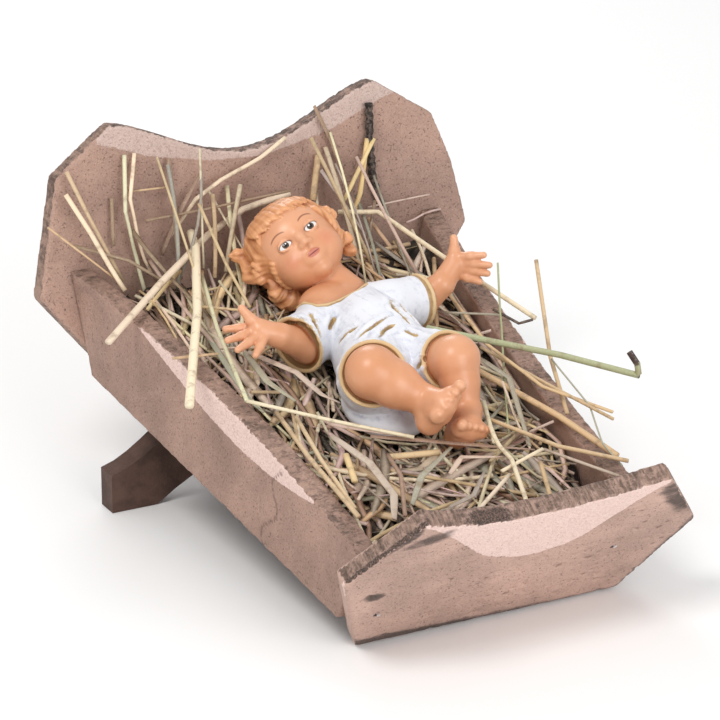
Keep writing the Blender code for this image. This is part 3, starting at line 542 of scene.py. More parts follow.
def add_head():
    ball("head", on_head(0, -1.5, 1.5), (19.0, 19.8, 19.4), HEAD_BASIS)
    ball("head", on_head(0, 6.5, -7.0), (15.5, 12.0, 13.2), HEAD_BASIS)
    ball("head", on_head(0, 7.0, 5.5), (14.0, 11.8, 11.5), HEAD_BASIS)
    ball("head", on_head(0, 12.6, -16.0), (4.6, 4.2, 3.9), HEAD_BASIS)
    for side in (-1, 1):
        ball("head", on_head(side * 7.8, 9.6, -8.4), (7.3, 7.4, 7.4), HEAD_BASIS)
        ball("head", on_head(side * 18.8, -1.0, -3.2), (2.4, 4.0, 5.6), HEAD_BASIS)
    limb("head", [on_head(0, 16.2, 3.4), on_head(0, 18.2, -1.0), on_head(0, 19.3, -4.2)], [1.3, 1.5, 2.1])
    ball("head", on_head(0, 16.6, -10.4), (5.4, 2.4, 3.6), HEAD_BASIS)
    limb("head", [on_head(0, -3.0, -10.0), point(5.5, 44.0, 22.0)], [9.6, 10.2])
    for side in (-1, 1):
        ball("face", on_head(side * 2.0, 18.3, -4.7), (1.35, 1.4, 1.2), HEAD_BASIS)
        ball("face", on_head(side * EYE_SIDE, 19.2, EYE_UP), (4.3, 2.9, 2.8), HEAD_BASIS, cut=True)
        ball("face", on_head(side * 19.8, -0.2, -3.0), (1.2, 2.2, 3.4), HEAD_BASIS, cut=True)
    ball("face", on_head(0, 19.9, -7.2), (0.75, 1.3, 1.5), HEAD_BASIS, cut=True)
    for side in (-1, 1):
        ball("lips", on_head(side * 1.25, 18.3, -9.3), (2.3, 1.25, 0.85), HEAD_BASIS)
        ball("lips", on_head(side * 1.0, 17.8, -11.2), (2.0, 1.35, 1.0), HEAD_BASIS)
        ball("eyes", on_head(side * EYE_SIDE, EYE_FRONT, EYE_UP), (3.45, 3.45, 3.3), HEAD_BASIS)
        for size, rise in ((0.62, 2.15), (0.45, -1.95)):
            arch = []
            for i in range(7):
                s = i / 6.0 * 2.0 - 1.0
                height = rise * math.sqrt(max(1.0 - s * s, 0.0))
                front = EYE_FRONT + 3.5 * math.sqrt(max(1.0 - (0.86 * s) ** 2 - (height / 3.9) ** 2, 0.02))
                arch.append(on_head(side * EYE_SIDE + 3.5 * s, front - 0.15, EYE_UP + height))
            limb("lids", arch, [size * 0.7] + [size] * 5 + [size * 0.7])


SIDE_LOCKS = ((((-17.5, -6.0, 12.0), (-21.0, -3.5, 15.5), (-23.8, -2.0, 17.0)), (4.6, 3.2, 1.0)),
              (((-20.5, -3.0, 9.0), (-24.0, -2.0, 4.0), (-22.0, 2.0, -1.0)), (3.2, 3.0, 2.0)),
              (((-18.0, -5.0, -9.0), (-15.5, -4.5, -15.5), (-9.5, -7.0, -19.0)), (4.8, 4.4, 3.2)))


def add_hair():
    ball("cap", on_head(0, -3.4, 3.2), (20.9, 20.3, 20.5), HEAD_BASIS)
    rows = ((0.98, 9, 0.30), (0.62, 13, 0.0), (0.24, 14, 0.22), (-0.16, 12, 0.0))
    for height, count, shift in rows:
        for i in range(count):
            spread = math.pi * (1.62 if height < 0.5 else 2.0)
            azimuth = math.pi - spread / 2.0 + spread * (i + shift) / count
            if math.cos(azimuth) > 0.55 and height < 0.9:
                continue
            wave = 0.10 * math.sin(3.1 * i + height * 7.0)
            lock = []
            for step in range(5):
                drop = height - 0.14 * step
                turn = azimuth + wave + 0.16 * step * (1.0 if math.sin(azimuth) > 0 else -1.0) * 0.6
                lift = 0.944 + 0.010 * math.sin(0.9 * step + i)
                lock.append(head_shell(turn, drop, lift))
            radii = [1.5, 1.9, 2.0, 1.8, 1.1]
            limb("hair", lock, radii)
    for spots, radii in SIDE_LOCKS:
        limb("hair", [on_head(*spot) for spot in spots], radii)
    for i in range(23):
        azimuth = -1.10 + 0.085 * i
        low = 0.49 + 0.05 * math.sin(1.3 * i)
        fringe = [head_shell(azimuth - 0.30, 1.10, 1.0), head_shell(azimuth - 0.14, 0.92, 1.02),
                  head_shell(azimuth + 0.04, 0.75, 1.035), head_shell(azimuth + 0.22, 0.60, 1.04),
                  head_shell(azimuth + 0.36, low, 1.03)]
        limb("fringe", fringe, [1.0, 1.3, 1.2, 0.95, 0.4])
    for side in (-1, 1):
        for k, (front, up, size) in enumerate(((2.5, 3.0, 3.4), (-1.5, -9.0, 3.2), (-7.5, -12.5, 3.4))):
            middle = on_head(side * (19.6 - 0.6 * k), front, up)
            ball("hair", middle, (size * 0.72, size * 0.72, size * 0.72), HEAD_BASIS)
            curl = []
            for step in range(8):
                a = 0.9 * step + k
                reach = size * (0.95 - 0.075 * step)
                curl.append(middle + HEAD_BASIS @ point(side * (0.8 + 0.22 * step), math.cos(a) * reach,
                                                        math.sin(a) * reach))
            limb("hair", curl, [0.75, 1.0, 1.05, 1.05, 1.0, 0.95, 0.85, 0.7])


TORSO = [point(4.0, 37.5, 17.0), point(3.8, 22.0, 17.2), point(2.5, 10.0, 17.5), point(1.0, -3.0, 16.0),
         point(3.0, -15.0, 12.0)]
TORSO_R = [15.0, 17.6, 19.8, 21.5, 20.5]
R_SHOULDER, R_ELBOW, R_WRIST = point(-14.5, 30.0, 19.5), point(-26.5, 17.5, 16.5), point(-41.5, 15.5, 25.5)
L_SHOULDER, L_ELBOW, L_WRIST = point(20.0, 27.5, 22.5), point(37.0, 30.0, 20.0), point(46.1, 27.5, 29.0)
SLEEVES = ((point(-12.0, 27.0, 19.0), point(-31.5, 17.0, 18.0), 12.0, 13.4),
           (L_SHOULDER, point(36.9, 29.8, 21.0), 11.5, 12.0))
R_HIP, R_KNEE, R_ANKLE = point(-7.0, -15.0, 12.0), point(-24.0, -38.0, 34.0), point(-6.0, -55.0, 25.5)
L_HIP, L_KNEE, L_ANKLE = point(14.0, -12.0, 12.0), point(15.0, -42.0, 35.0), point(14.0, -57.0, 17.0)


def add_hand(wrist, palm, tips, thumb):
    limb("small", [wrist, palm], [5.6, 5.1])
    middle = tips[len(tips) // 2] - palm
    across = (tips[0] - tips[-1]).normalized()
    for i, tip in enumerate(tips):
        root = palm + across * (3.6 - 2.4 * i)
        bend = mix(root, tip, 0.55) + middle.cross(across).normalized() * 0.6
        limb("small", [root, bend, tip], [2.4, 2.0, 1.55])
    limb("small", [mix(wrist, palm, 0.5), mix(palm, thumb, 0.5), thumb], [3.3, 2.5, 1.8])


def add_foot(ankle, heel, big, little):
    ball_of_foot = mix(big, little, 0.45)
    arch = mix(heel, ball_of_foot, 0.5)
    across = (little - big).normalized()
    limb("small", [ankle, heel], [7.2, 5.6])
    limb("small", [heel, arch, ball_of_foot - (ball_of_foot - heel).normalized() * 3.0], [5.8, 6.0, 5.4])
    limb("small", [ankle, mix(ankle, ball_of_foot, 0.7)], [7.2, 5.4])
    limb("small", [mix(big, arch, 0.3), mix(little, arch, 0.3)], [4.6, 3.9])
    forward = (ball_of_foot - heel).normalized()
    for i in range(5):
        size = (3.0, 2.3, 2.2, 2.1, 1.9)[i]
        root = mix(big, little, i / 4.0) - across * 0.2
        limb("toes", [root - forward * 2.0, root + forward * (2.4 - 0.25 * i)], [size, size * 0.92])


def add_skin():
    ball("body", point(-4.5, 38.0, 22.8), (15.5, 12.0, 8.6))
    ball("body", TORSO[0], (14.0, 14.0, 14.0))
    limb("body", [TORSO[0], R_SHOULDER], [11.5, 10.5])
    limb("body", [TORSO[0], L_SHOULDER], [11.5, 10.5])
    limb("body", [R_SHOULDER, R_ELBOW, R_WRIST], [8.8, 7.8, 5.7])
    limb("body", [L_SHOULDER, L_ELBOW, L_WRIST], [8.8, 8.0, 5.9])
    add_hand(R_WRIST, point(-50.5, 18.5, 28.5),
             [point(-64.5, 24.5, 28.5), point(-67.5, 16.0, 28.0), point(-65.5, 9.5, 26.5),
              point(-58.5, 5.5, 24.5)], point(-57.5, 24.0, 38.0))
    add_hand(L_WRIST, point(54.0, 31.0, 36.0),
             [point(63.8, 23.0, 43.5), point(65.6, 20.0, 39.5), point(64.8, 19.6, 35.5),
              point(61.5, 20.2, 31.5)], point(55.0, 36.0, 47.0))
    limb("body", [R_HIP, R_KNEE], [14.0, 11.6])
    limb("body", [R_KNEE, mix(R_KNEE, R_ANKLE, 0.45), R_ANKLE], [11.4, 10.4, 6.6])
    limb("body", [L_HIP, L_KNEE], [14.0, 10.6])
    limb("body", [L_KNEE, mix(L_KNEE, L_ANKLE, 0.45), L_ANKLE], [10.6, 8.6, 6.4])
    add_foot(R_ANKLE, point(-6.5, -61.0, 18.5), point(2.6, -66.0, 36.0), point(-8.4, -70.5, 27.0))
    add_foot(L_ANKLE, point(9.0, -60.5, 8.0), point(4.4, -69.0, 18.5), point(16.4, -71.6, 15.5))


HEMS = []
COLLAR = ((-22.0, 36.8, 24.5), (-20.8, 33.6, 28.4), (-18.4, 25.6, 30.9), (-14.5, 24.9, 30.9),
          (-9.1, 26.2, 30.6), (-3.7, 25.9, 32.6), (2.5, 27.1, 33.9), (10.3, 34.4, 31.4), (14.5, 41.0, 27.0))
CREASES = (((-24.0, 24.0, 30.9), (-25.7, 13.8, 30.1), (-26.3, 5.1, 21.5)),
           ((-13.2, 17.8, 28.4), (-19.3, 11.8, 26.1)),
           ((-11.1, -1.1, 33.7), (-16.0, 1.2, 28.5), (-18.6, 3.2, 22.5)),
           ((5.4, -2.4, 37.1), (-6.4, -6.4, 35.7), (-18.3, -9.9, 32.5)),
           ((12.9, 21.5, 34.0), (7.9, 2.4, 36.8), (9.8, -11.4, 35.4)),
           ((19.6, 22.1, 32.5), (14.6, 2.7, 34.8), (15.4, -6.8, 33.1)),
           ((4.0, -37.7, 36.9), (1.4, -35.8, 32.5), (0.6, -33.2, 27.3)),
           ((4.3, -12.9, 35.4), (7.9, -21.9, 36.3)),
           ((-31.9, 22.1, 30.6), (-34.2, 10.7, 29.6), (-34.1, 5.2, 23.9)),
           ((-12.7, -19.9, 37.8), (-4.5, -11.6, 36.3), (2.5, -9.0, 36.5)))


def add_gown():
    limb("gown", TORSO, TORSO_R)
    limb("collar", [point(*spot) for spot in COLLAR], [0.85] * len(COLLAR))
    limb("gown", [TORSO[0], R_SHOULDER], [12.5, 11.5])
    limb("gown", [TORSO[0], L_SHOULDER], [12.5, 11.5])
    for shoulder, rim, inner, outer in SLEEVES:
        limb("gown", [shoulder, rim], [inner, outer], False)
        HEMS.append((rim, (rim - shoulder).normalized(), outer))
    limb("gown", [TORSO[3], mix(R_HIP, R_KNEE, 0.45), mix(R_HIP, R_KNEE, 0.86)], [19.0, 16.6, 14.6], False)
    limb("gown", [TORSO[3], mix(L_HIP, L_KNEE, 0.45), mix(L_HIP, L_KNEE, 0.84)], [18.0, 15.4, 13.4], False)
    ball("gown", point(-6.0, -24.0, 6.0), (21.0, 25.0, 10.0), Matrix.Rotation(-0.35, 3, "Z"))
    ball("gown", point(9.0, -18.0, 7.0), (17.0, 20.0, 10.0))
    limb("gown", [L_HIP, mix(L_HIP, L_KNEE, 0.5)], [14.9, 13.6])
    for knee, hip, size, end in ((R_KNEE, R_HIP, 14.8, 0.86), (L_KNEE, L_HIP, 13.4, 0.84)):
        axis = (knee - hip).normalized()
        HEMS.append((mix(hip, knee, end), axis, size - 0.2 if size > 14.0 else size))
        across = axis.orthogonal().normalized()
        for i in range(9):
            offset = Matrix.Rotation(math.tau * i / 9.0 + 0.3 * (i % 2), 3, axis) @ across
            fold = ((0.34, 0.6, 0.7), (0.62, 0.1, 1.5), (end - 0.04, -1.6, 0.7))
            limb("folds", [mix(hip, knee, t) + offset * (size + grow) for t, grow, _ in fold],
                 [thick for _, _, thick in fold])


add_head()
add_hair()
add_skin()
add_gown()

source = bpy.data.meshes.new("figure_source")
source.from_pydata(np.concatenate(solids[0]).tolist(), [], solids[1])
sculpt = remeshed("figure", source, 0.56)


FAR = 40.0


def distance(form, p):
    if form[0] == "ball":
        _, centre, radii, basis, _ = form
        q = (p - np.array(centre)) @ np.array(basis)
        r = np.array(radii)
        k0 = np.linalg.norm(q / r, axis=1)
        k1 = np.linalg.norm(q / (r * r), axis=1)
        return np.where(k1 > 1e-9, k0 * (k0 - 1.0) / np.maximum(k1, 1e-9), -min(radii))
    _, a, b, ra, rb, flat, _ = form
    a, b = np.array(a), np.array(b)
    line = b - a
    h = ((p - a) @ line) / (line @ line)
    hc = np.clip(h, 0.0, 1.25 if flat else 1.0)
    d = np.linalg.norm(p - a - hc[:, None] * line, axis=1) - (ra + (rb - ra) * hc)
    return np.maximum(d, (h - 1.0) * np.linalg.norm(line)) if flat else d


def reach(form):
    if form[0] == "ball":
        return np.array(form[1]), max(form[2])
    a, b = np.array(form[1]), np.array(form[2])
    return (a + b) / 2.0, np.linalg.norm(b - a) / 2.0 + max(form[3], form[4])


def smooth_join(d, e, k):
    h = unit(0.5 + 0.5 * (e - d) / k)
    return e * (1.0 - h) + d * h - k * h * (1.0 - h)


def smooth_cut(d, e, k):
    return -smooth_join(-d, e, k)


def add_forms(d, p, group, k, margin=7.0):
    strands = {}
    for form in forms[group]:
        centre, radius = reach(form)
        near = np.flatnonzero(((p - centre) ** 2).sum(1) < (radius + margin) ** 2)
        if len(near) == 0:
            continue
        e = distance(form, p[near])
        if group in ("hair", "fringe", "collar") and form[0] == "limb":
            strand = strands.setdefault(form[-1], np.full(len(p), FAR))
            strand[near] = np.minimum(strand[near], e)
            continue
        hollowed = form[0] == "ball" and form[-1]
        d[near] = (smooth_cut if hollowed else smooth_join)(d[near], e, k)
    for strand in strands.values():
        near = np.flatnonzero(strand < FAR)
        d[near] = smooth_join(d[near], strand[near], k)
    return d


def field(p, *steps):
    d = np.full(len(p), FAR)
    for group, blend in steps:
        add_forms(d, p, group, blend)
    return d


def hem_place(p, centre, axis):
    q = p - np.array(centre)
    along = q @ np.array(axis)
    return along, np.linalg.norm(q - along[:, None] * np.array(axis), axis=1)


def regions(p):
    skin = field(p, ("head", 2.4))
    skin = smooth_join(skin, field(p, ("body", 2.0), ("small", 1.3), ("toes", 0.5)), 1.2)
    for group, blend in (("face", 1.1), ("lips", 0.45), ("eyes", 0.12), ("lids", 0.35)):
        add_forms(skin, p, group, blend)
    hair = field(p, ("cap", 0.5))
    face_hole = ("ball", on_head(0, 19.0, -4.0), (15.4, 15.0, 17.0), HEAD_BASIS * (1.0 / HEAD_SIZE), False)
    hair = smooth_cut(hair, distance(face_hole, p), 1.0)
    add_forms(hair, p, "hair", 2.4)
    add_forms(hair, p, "fringe", 0.7)
    gown = field(p, ("gown", 3.0), ("folds", 1.9))
    for centre, axis, radius in HEMS:
        along, radial = hem_place(p, centre, axis)
        bore = np.maximum(radial - radius + 1.5, np.maximum(along - 2.0, -along - 2.2))
        gown = smooth_cut(gown, bore, 0.5)
        gown = smooth_join(gown, np.hypot(along + 0.4, radial - radius + 0.2) - 0.75, 0.5)
    x, y = p[:, 0] - NECK_AT[0], p[:, 1] - NECK_AT[1]
    rim = np.interp(np.arctan2(y, x), NECK_TURN, NECK_OUT, period=math.tau)
    gown = np.where(p[:, 2] > 8.0, smooth_cut(gown, np.hypot(x, y) - rim, 0.3), gown)
    add_forms(gown, p, "collar", 0.6)
    return skin, hair, gown


# The neck opening as turn and distance from its middle; the last two close it behind the head.
NECK_AT = (-5.0, 38.0)
edge_spots = np.array(COLLAR)[:, :2] - np.array(NECK_AT)
NECK_TURN = np.concatenate((np.arctan2(edge_spots[:, 1], edge_spots[:, 0]), (1.2, 2.2)))
NECK_OUT = np.concatenate((np.hypot(edge_spots[:, 0], edge_spots[:, 1]), (17.5, 17.0)))

spots = mesh_points(sculpt)
for turn in range(3):
    skin, hair, gown = regions(spots)
    off = np.minimum(np.minimum(skin, hair), gown)
    spots = spots - mesh_normals(sculpt) * np.clip(off, -1.0, 1.0)[:, None] * 0.85
    sculpt.vertices.foreach_set("co", spots.ravel())
    sculpt.update()
skin, hair, gown = regions(spots)

gilt = np.zeros(len(spots))
push = np.zeros(len(spots))
for number, crease in enumerate(CREASES):
    wash = 0.68 if number in (0, 4, 5, 8) else 0.0
    line = np.array(crease)
    for _ in range(4):
        d = regions(line)[2]
        slope = np.stack([regions(line + step)[2] - d for step in np.eye(3) * 0.05], axis=1)
        line = line - slope / (np.linalg.norm(slope, axis=1)[:, None] + 1e-9) * d[:, None]
    for i, (a, b) in enumerate(zip(line, line[1:])):
        t = unit(((spots - a) @ (b - a)) / ((b - a) @ (b - a)))
        gap = np.linalg.norm(spots - a - t[:, None] * (b - a), axis=1)
        place = (i + t) / (len(line) - 1)
        fade = unit(np.sin(math.pi * unit(place)) * 1.5)
        push = np.where(gap < 6.0, np.minimum(push, -1.15 * fade * np.exp(-(gap / 0.85) ** 2)), push)
        push = np.where((push > -0.05) & (gap < 6.0),
                        np.maximum(push, 0.85 * fade * np.exp(-((gap - 2.6) / 1.2) ** 2)), push)
        gilt = np.maximum(gilt, 1.1 * fade ** 0.5 * np.exp(-(gap / (0.35 + 0.85 * fade)) ** 2))
        gilt = np.maximum(gilt, wash * fade * np.exp(-(gap / 2.4) ** 2))
on_gown = (gown < skin) & (gown < hair)
spots += mesh_normals(sculpt) * (push * on_gown)[:, None]
gilt *= on_gown

curl = (spots - np.array(HEAD_AT)) @ np.array(HEAD_BASIS) / HEAD_SIZE ** 2
pole = np.array((0.10, -0.50, 0.86))
pole /= np.linalg.norm(pole)
east = np.cross(pole, (0.0, 1.0, 0.0))
east /= np.linalg.norm(east)
north = np.cross(pole, east)
way = curl - np.array((0.0, -1.7, 1.6))
way /= np.linalg.norm(way, axis=1)[:, None]
theta = np.arccos(np.clip(way @ pole, -1.0, 1.0))
phi = np.arctan2(way @ north, way @ east) + 0.22 * theta
wave = phi + 0.110 * np.sin(2.9 * theta + 2.0 * phi) + 0.025 * np.sin(6.5 * theta + 3.0 * phi)
lumps = (0.46 * (np.abs(np.sin(9.0 * wave)) ** 0.8 - 0.62)
         + 0.46 * (np.abs(np.sin(21.0 * wave + 0.3 * np.sin(4.0 * theta))) ** 0.7 - 0.66)
         + 0.26 * (np.abs(np.sin(49.0 * wave)) - 0.62))
own_strands = np.minimum.reduce([distance(form, spots) for form in forms["fringe"]])
lumps *= np.clip((own_strands - 0.1) / 0.9, 0.6, 1.0)
lumps *= np.clip(theta / 0.5, 0.25, 1.0) * unit((skin - hair) / 1.2) * (hair < gown)
spots += mesh_normals(sculpt) * lumps[:, None]
sculpt.vertices.foreach_set("co", spots.ravel())
sculpt.update()

edges = np.empty(len(sculpt.edges) * 2, dtype=np.int64)
sculpt.edges.foreach_get("vertices", edges)
edges = edges.reshape(-1, 2)


def neighbour_mean(values):
    columns = values.reshape(len(values), -1)
    total = np.zeros_like(columns)
    count = np.zeros(len(values))
    for here, there in (edges.T, edges.T[::-1]):
        for axis, column in enumerate(columns.T):
            total[:, axis] += np.bincount(here, weights=column[there], minlength=len(values))
        count += np.bincount(here, minlength=len(values))
    return (total / count[:, None]).reshape(values.shape)


on_skin = (skin < hair) & (skin < gown)
soft = neighbour_mean(spots)
soft = spots * 0.55 + soft * 0.45
spots = np.where(on_skin[:, None], soft, spots)
wide = spots.copy()
for _ in range(7):
    wide = neighbour_mean(wide)
hollow = ((wide - spots) * mesh_normals(sculpt)).sum(1)
for _ in range(2):
    hollow = neighbour_mean(hollow)

hem = np.full(len(spots), 9.0)
for centre, axis, radius in HEMS:
    along, radial = hem_place(spots, centre, axis)
    cuff = 3.2 if radius < 12.5 else 0.1
    beyond = np.clip(along + 0.2, 0.0, None) * 0.2
    behind = np.clip(-cuff - along, 0.0, None) * (radial > radius - 0.8)
    gap = np.hypot(beyond + behind, np.clip(radial - radius, 0.0, None) * 0.6)
    hem = np.minimum(hem, np.where((radial < radius + 2.0) & (np.abs(along) < 6.0), gap, 9.0))
head_local = (spots - np.array(HEAD_AT)) @ np.array(HEAD_BASIS) / HEAD_SIZE ** 2
for form in forms["collar"]:
    hem = np.minimum(hem, np.clip(distance(form, spots) - 0.15, 0.0, 9.0))

figure_matrix = np.array(FIGURE)
sculpt.vertices.foreach_set("co", into(figure_matrix, spots).ravel())
keep(sculpt, "gown_skin", np.clip(skin - gown, -5.0, 5.0))
keep(sculpt, "hair_skin", np.clip(skin - hair, -5.0, 5.0))
keep(sculpt, "gown_hair", np.clip(hair - gown, -5.0, 5.0))
keep(sculpt, "hollow", hollow)
keep(sculpt, "gilt", gilt)
keep(sculpt, "hem", hem)
layer = sculpt.attributes.new("face_at", "FLOAT_VECTOR", "POINT")
layer.data.foreach_set("vector", head_local.astype(np.float32).ravel())
sculpt.update()

paint = Graph("figure_paint", 0.36)
split = paint.tree.nodes.new("ShaderNodeSeparateXYZ")
paint.tree.links.new(paint.attribute("face_at", "Vector"), split.inputs[0])
fx, fy, fz = split.outputs
mottle = paint.noise(45.0, 4.0, 0.6)
fine = paint.noise(420.0, 4.0, 0.65)
hollow_light_and_shade = paint.attribute("hollow")
flesh = paint.mix(paint.ramp(mottle, 0.3, 0.7), (0.655, 0.298, 0.152), (0.735, 0.362, 0.203))
# Painted shade: the flesh darkens in its hollows. Painted highlight: it lightens on the rounded parts.
flesh = paint.coat(flesh, paint.ramp(hollow_light_and_shade, 0.02, 0.42), (0.330, 0.105, 0.038))
flesh = paint.coat(flesh, paint.ramp(hollow_light_and_shade, -0.05, -0.30), (0.82, 0.45, 0.27), 0.45)
side_x = paint.math("ABSOLUTE", fx)


def oval(cx, cz, rx, rz):
    a = paint.math("DIVIDE", paint.math("SUBTRACT", side_x, cx), rx)
    b = paint.math("DIVIDE", paint.math("SUBTRACT", fz, cz), rz)
    return paint.math("SQRT", paint.math("ADD", paint.math("MULTIPLY", a, a), paint.math("MULTIPLY", b, b)))


front = paint.ramp(fy, 6.0, 9.0)
opening = oval(EYE_SIDE, EYE_UP, 2.95, 1.38)
white = paint.times(paint.ramp(opening, 1.04, 0.92), front)


def spot(place, edges, colour, amount=1.0, within=front):
    return paint.coat(flesh, paint.times(paint.ramp(oval(*place), *edges), within), colour, amount)


flesh = spot((9.4, -7.6, 7.0, 5.6), (1.1, 0.0), (0.62, 0.190, 0.110), 0.42)
flesh = spot((0.0, -10.2, 3.2, 1.75), (1.10, 0.80), (0.50, 0.140, 0.105), 0.80)
flesh = spot((0.0, -10.25, 3.1, 0.28), (1.2, 0.6), (0.20, 0.035, 0.030))
arch_x = paint.math("SUBTRACT", side_x, EYE_SIDE + 0.4)
arch_top = paint.math("SUBTRACT", EYE_UP + 5.9, paint.times(arch_x, arch_x, 0.085))
arch_gap = paint.math("ABSOLUTE", paint.math("SUBTRACT", fz, arch_top))
arch_end = paint.ramp(paint.math("ABSOLUTE", arch_x), 4.1, 2.9)
brow = paint.times(paint.ramp(arch_gap, 0.55, 0.18), arch_end, front)
flesh = paint.coat(flesh, brow, (0.23, 0.085, 0.045), 0.8)
lash = paint.times(paint.ramp(opening, 1.30, 1.04), paint.ramp(fz, EYE_UP - 0.9, EYE_UP + 0.5), front)
flesh = paint.coat(flesh, lash, (0.12, 0.045, 0.028), 0.9)
flesh = paint.coat(flesh, white, (0.78, 0.76, 0.74))
flesh = spot((EYE_SIDE - 0.1, EYE_UP + 0.05, 1.60, 1.60), (1.05, 0.92), (0.085, 0.055, 0.038), 1.0, white)
flesh = spot((EYE_SIDE - 0.1, EYE_UP + 0.05, 0.88, 0.88), (1.1, 0.85), (0.008, 0.007, 0.008), 1.0, white)
# Painted highlight: a white glint on each iris.
flesh = spot((EYE_SIDE - 0.50, EYE_UP + 0.62, 0.38, 0.38), (1.1, 0.7), (0.95, 0.95, 0.95), 1.0, white)

# Painted shade darkens the grooves between the locks, and a painted highlight lightens their ridges.
locks = paint.mix(paint.ramp(hollow_light_and_shade, -0.20, 0.20), (0.76, 0.375, 0.180), (0.40, 0.135, 0.045))
locks = paint.coat(locks, paint.ramp(mottle, 0.35, 0.7), (0.72, 0.30, 0.125), 0.35)

streaks = paint.noise(260.0, 5.0, 0.6, (1.0, 0.22, 1.0), (0.0, 0.0, 0.5))
brushed = paint.math("ADD", paint.times(fine, 0.35), paint.times(streaks, 0.65))
# Grey-blue shows through as undercoat in the brush streaks, and as painted shade in the folds and hollows.
wash = paint.ramp(paint.math("MULTIPLY_ADD", hollow_light_and_shade, 0.95, brushed), 0.44, 0.80)
cloth = paint.mix(wash, (0.765, 0.775, 0.825), (0.44, 0.455, 0.545))
# Painted shade: deeper grey in the deepest hollows of the gown.
cloth = paint.coat(cloth, paint.ramp(hollow_light_and_shade, 0.20, 0.46), (0.32, 0.30, 0.34), 0.8)
gold = paint.ramp(paint.frayed("gilt", paint.math("SUBTRACT", fine, 0.5), 1.1), 0.32, 0.72)
ochre = paint.mix(paint.ramp(fine, 0.40, 0.62), (0.27, 0.160, 0.045), (0.56, 0.355, 0.090))
cloth = paint.coat(cloth, gold, ochre, 0.9)
# Gold on the hems and collar, with a painted highlight on the raised rims and painted shade in the hollows.
edge_lit = paint.ramp(paint.math("MULTIPLY_ADD", fine, 0.25, hollow_light_and_shade), 0.22, -0.06)
lit_hem_gold = paint.mix(edge_lit, (0.30, 0.165, 0.060), (0.70, 0.50, 0.27))
cloth = paint.coat(cloth, paint.ramp(paint.frayed("hem", fine, 0.5), 0.85, 0.50), lit_hem_gold)

is_hair = paint.ramp(paint.attribute("hair_skin"), -0.12, 0.12)
is_gown = paint.times(*(paint.ramp(paint.attribute(key), -0.08, 0.08) for key in ("gown_skin", "gown_hair")))
paint.feed("Base Color", paint.mix(is_gown, paint.mix(is_hair, flesh, locks), cloth))
rough = paint.math("SUBTRACT", paint.math("MULTIPLY_ADD", is_gown, 0.26, 0.34), paint.times(white, 0.22))
paint.feed("Roughness", rough)
paint.bump(paint.times(brushed, paint.math("MULTIPLY_ADD", is_gown, 0.9, 0.06)), 0.00028, 0.7)
smooth_object("painted_figure", sculpt, paint.mat, "figure_paint", "infant_figure")


# Straw.
# A heap of dry hay and straw laid loose in the manger: flat curled blades and round hollow
# stalks, pale on top and darkened below with painted shade. Each one is a thin body of its own in one mesh.
# dark is near black and stands for painted shade in the gaps of the heap.
COLOURS = {"cream": (0.84, 0.71, 0.50), "pale": (0.74, 0.65, 0.45), "tan": (0.64, 0.46, 0.27),
           "yellow": (0.80, 0.58, 0.28), "brown": (0.36, 0.235, 0.165), "pink": (0.62, 0.47, 0.39),
           "grey": (0.40, 0.36, 0.285), "green": (0.40, 0.42, 0.24), "dark": (0.07, 0.05, 0.04)}


def in_manger(name):
    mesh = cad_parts[name].data
    tree_points = into(to_manger, mesh_points(mesh))
    return BVHTree.FromPolygons(tree_points.tolist(), [tuple(p.vertices) for p in mesh.polygons])


bed = in_manger("straw_bed")
walls = [in_manger(n) for n in ("headboard", "footboard", "left_side_board", "right_side_board",
                                "infant_figure")]
rng = np.random.default_rng(7)
heap = {"co": [], "faces": [], "colour": [], "count": 0}


def clearance(p):
    gap = 1.0
    for tree in walls:
        near, normal, _, far = tree.find_nearest(p, 0.02)
        if near is not None:
            gap = min(gap, far if (p - near).dot(normal) > 0.0 else -far)
    return gap


def bed_height(x, y):
    hit = bed.ray_cast(Vector((x, y, 0.2)), Vector((0.0, 0.0, -1.0)))[0]
    return hit.z if hit is not None else None


def lay(path, width, thick, colour, ring=6, twist=0.0, taper=0.0):
    """One blade or stalk along a path: width across, thickness upward."""
    path = np.array(path)
    n = len(path)
    way = np.gradient(path, axis=0)
    way /= np.linalg.norm(way, axis=1)[:, None] + 1e-12
    across = np.cross(way, (0.0, 0.0, 1.0))
    across += np.array((1e-4, 0.0, 0.0))
    across /= np.linalg.norm(across, axis=1)[:, None]
    rise = np.cross(across, way)
    turn = twist * np.linspace(-0.5, 0.5, n)[:, None]
    side = across * np.cos(turn) + rise * np.sin(turn)
    up = rise * np.cos(turn) - across * np.sin(turn)
    size = 1.0 - taper * np.abs(np.linspace(-1.0, 1.0, n)) ** 2
    start = heap["count"]
    for k in range(ring):
        a = math.tau * k / ring
        sideways = side * (math.cos(a) * width * 0.5 * size)[:, None]
        heap["co"].append(path + sideways + up * math.sin(a) * thick * 0.5)
    heap["colour"].extend([colour] * (ring * n))
    for k in range(ring):
        here = start + k * n
        there = start + (k + 1) % ring * n
        for i in range(n - 1):
            heap["faces"].append((here + i, there + i, there + i + 1, here + i + 1))
    heap["faces"].append(tuple(start + k * n for k in reversed(range(ring))))
    heap["faces"].append(tuple(start + k * n + n - 1 for k in range(ring)))
    heap["count"] += ring * n


def shade(name, low=0.8, high=1.15):
    tint = np.array(COLOURS[name]) * rng.uniform(low, high)
    return tuple(unit(tint * rng.uniform(0.94, 1.06, 3))) + (1.0,)


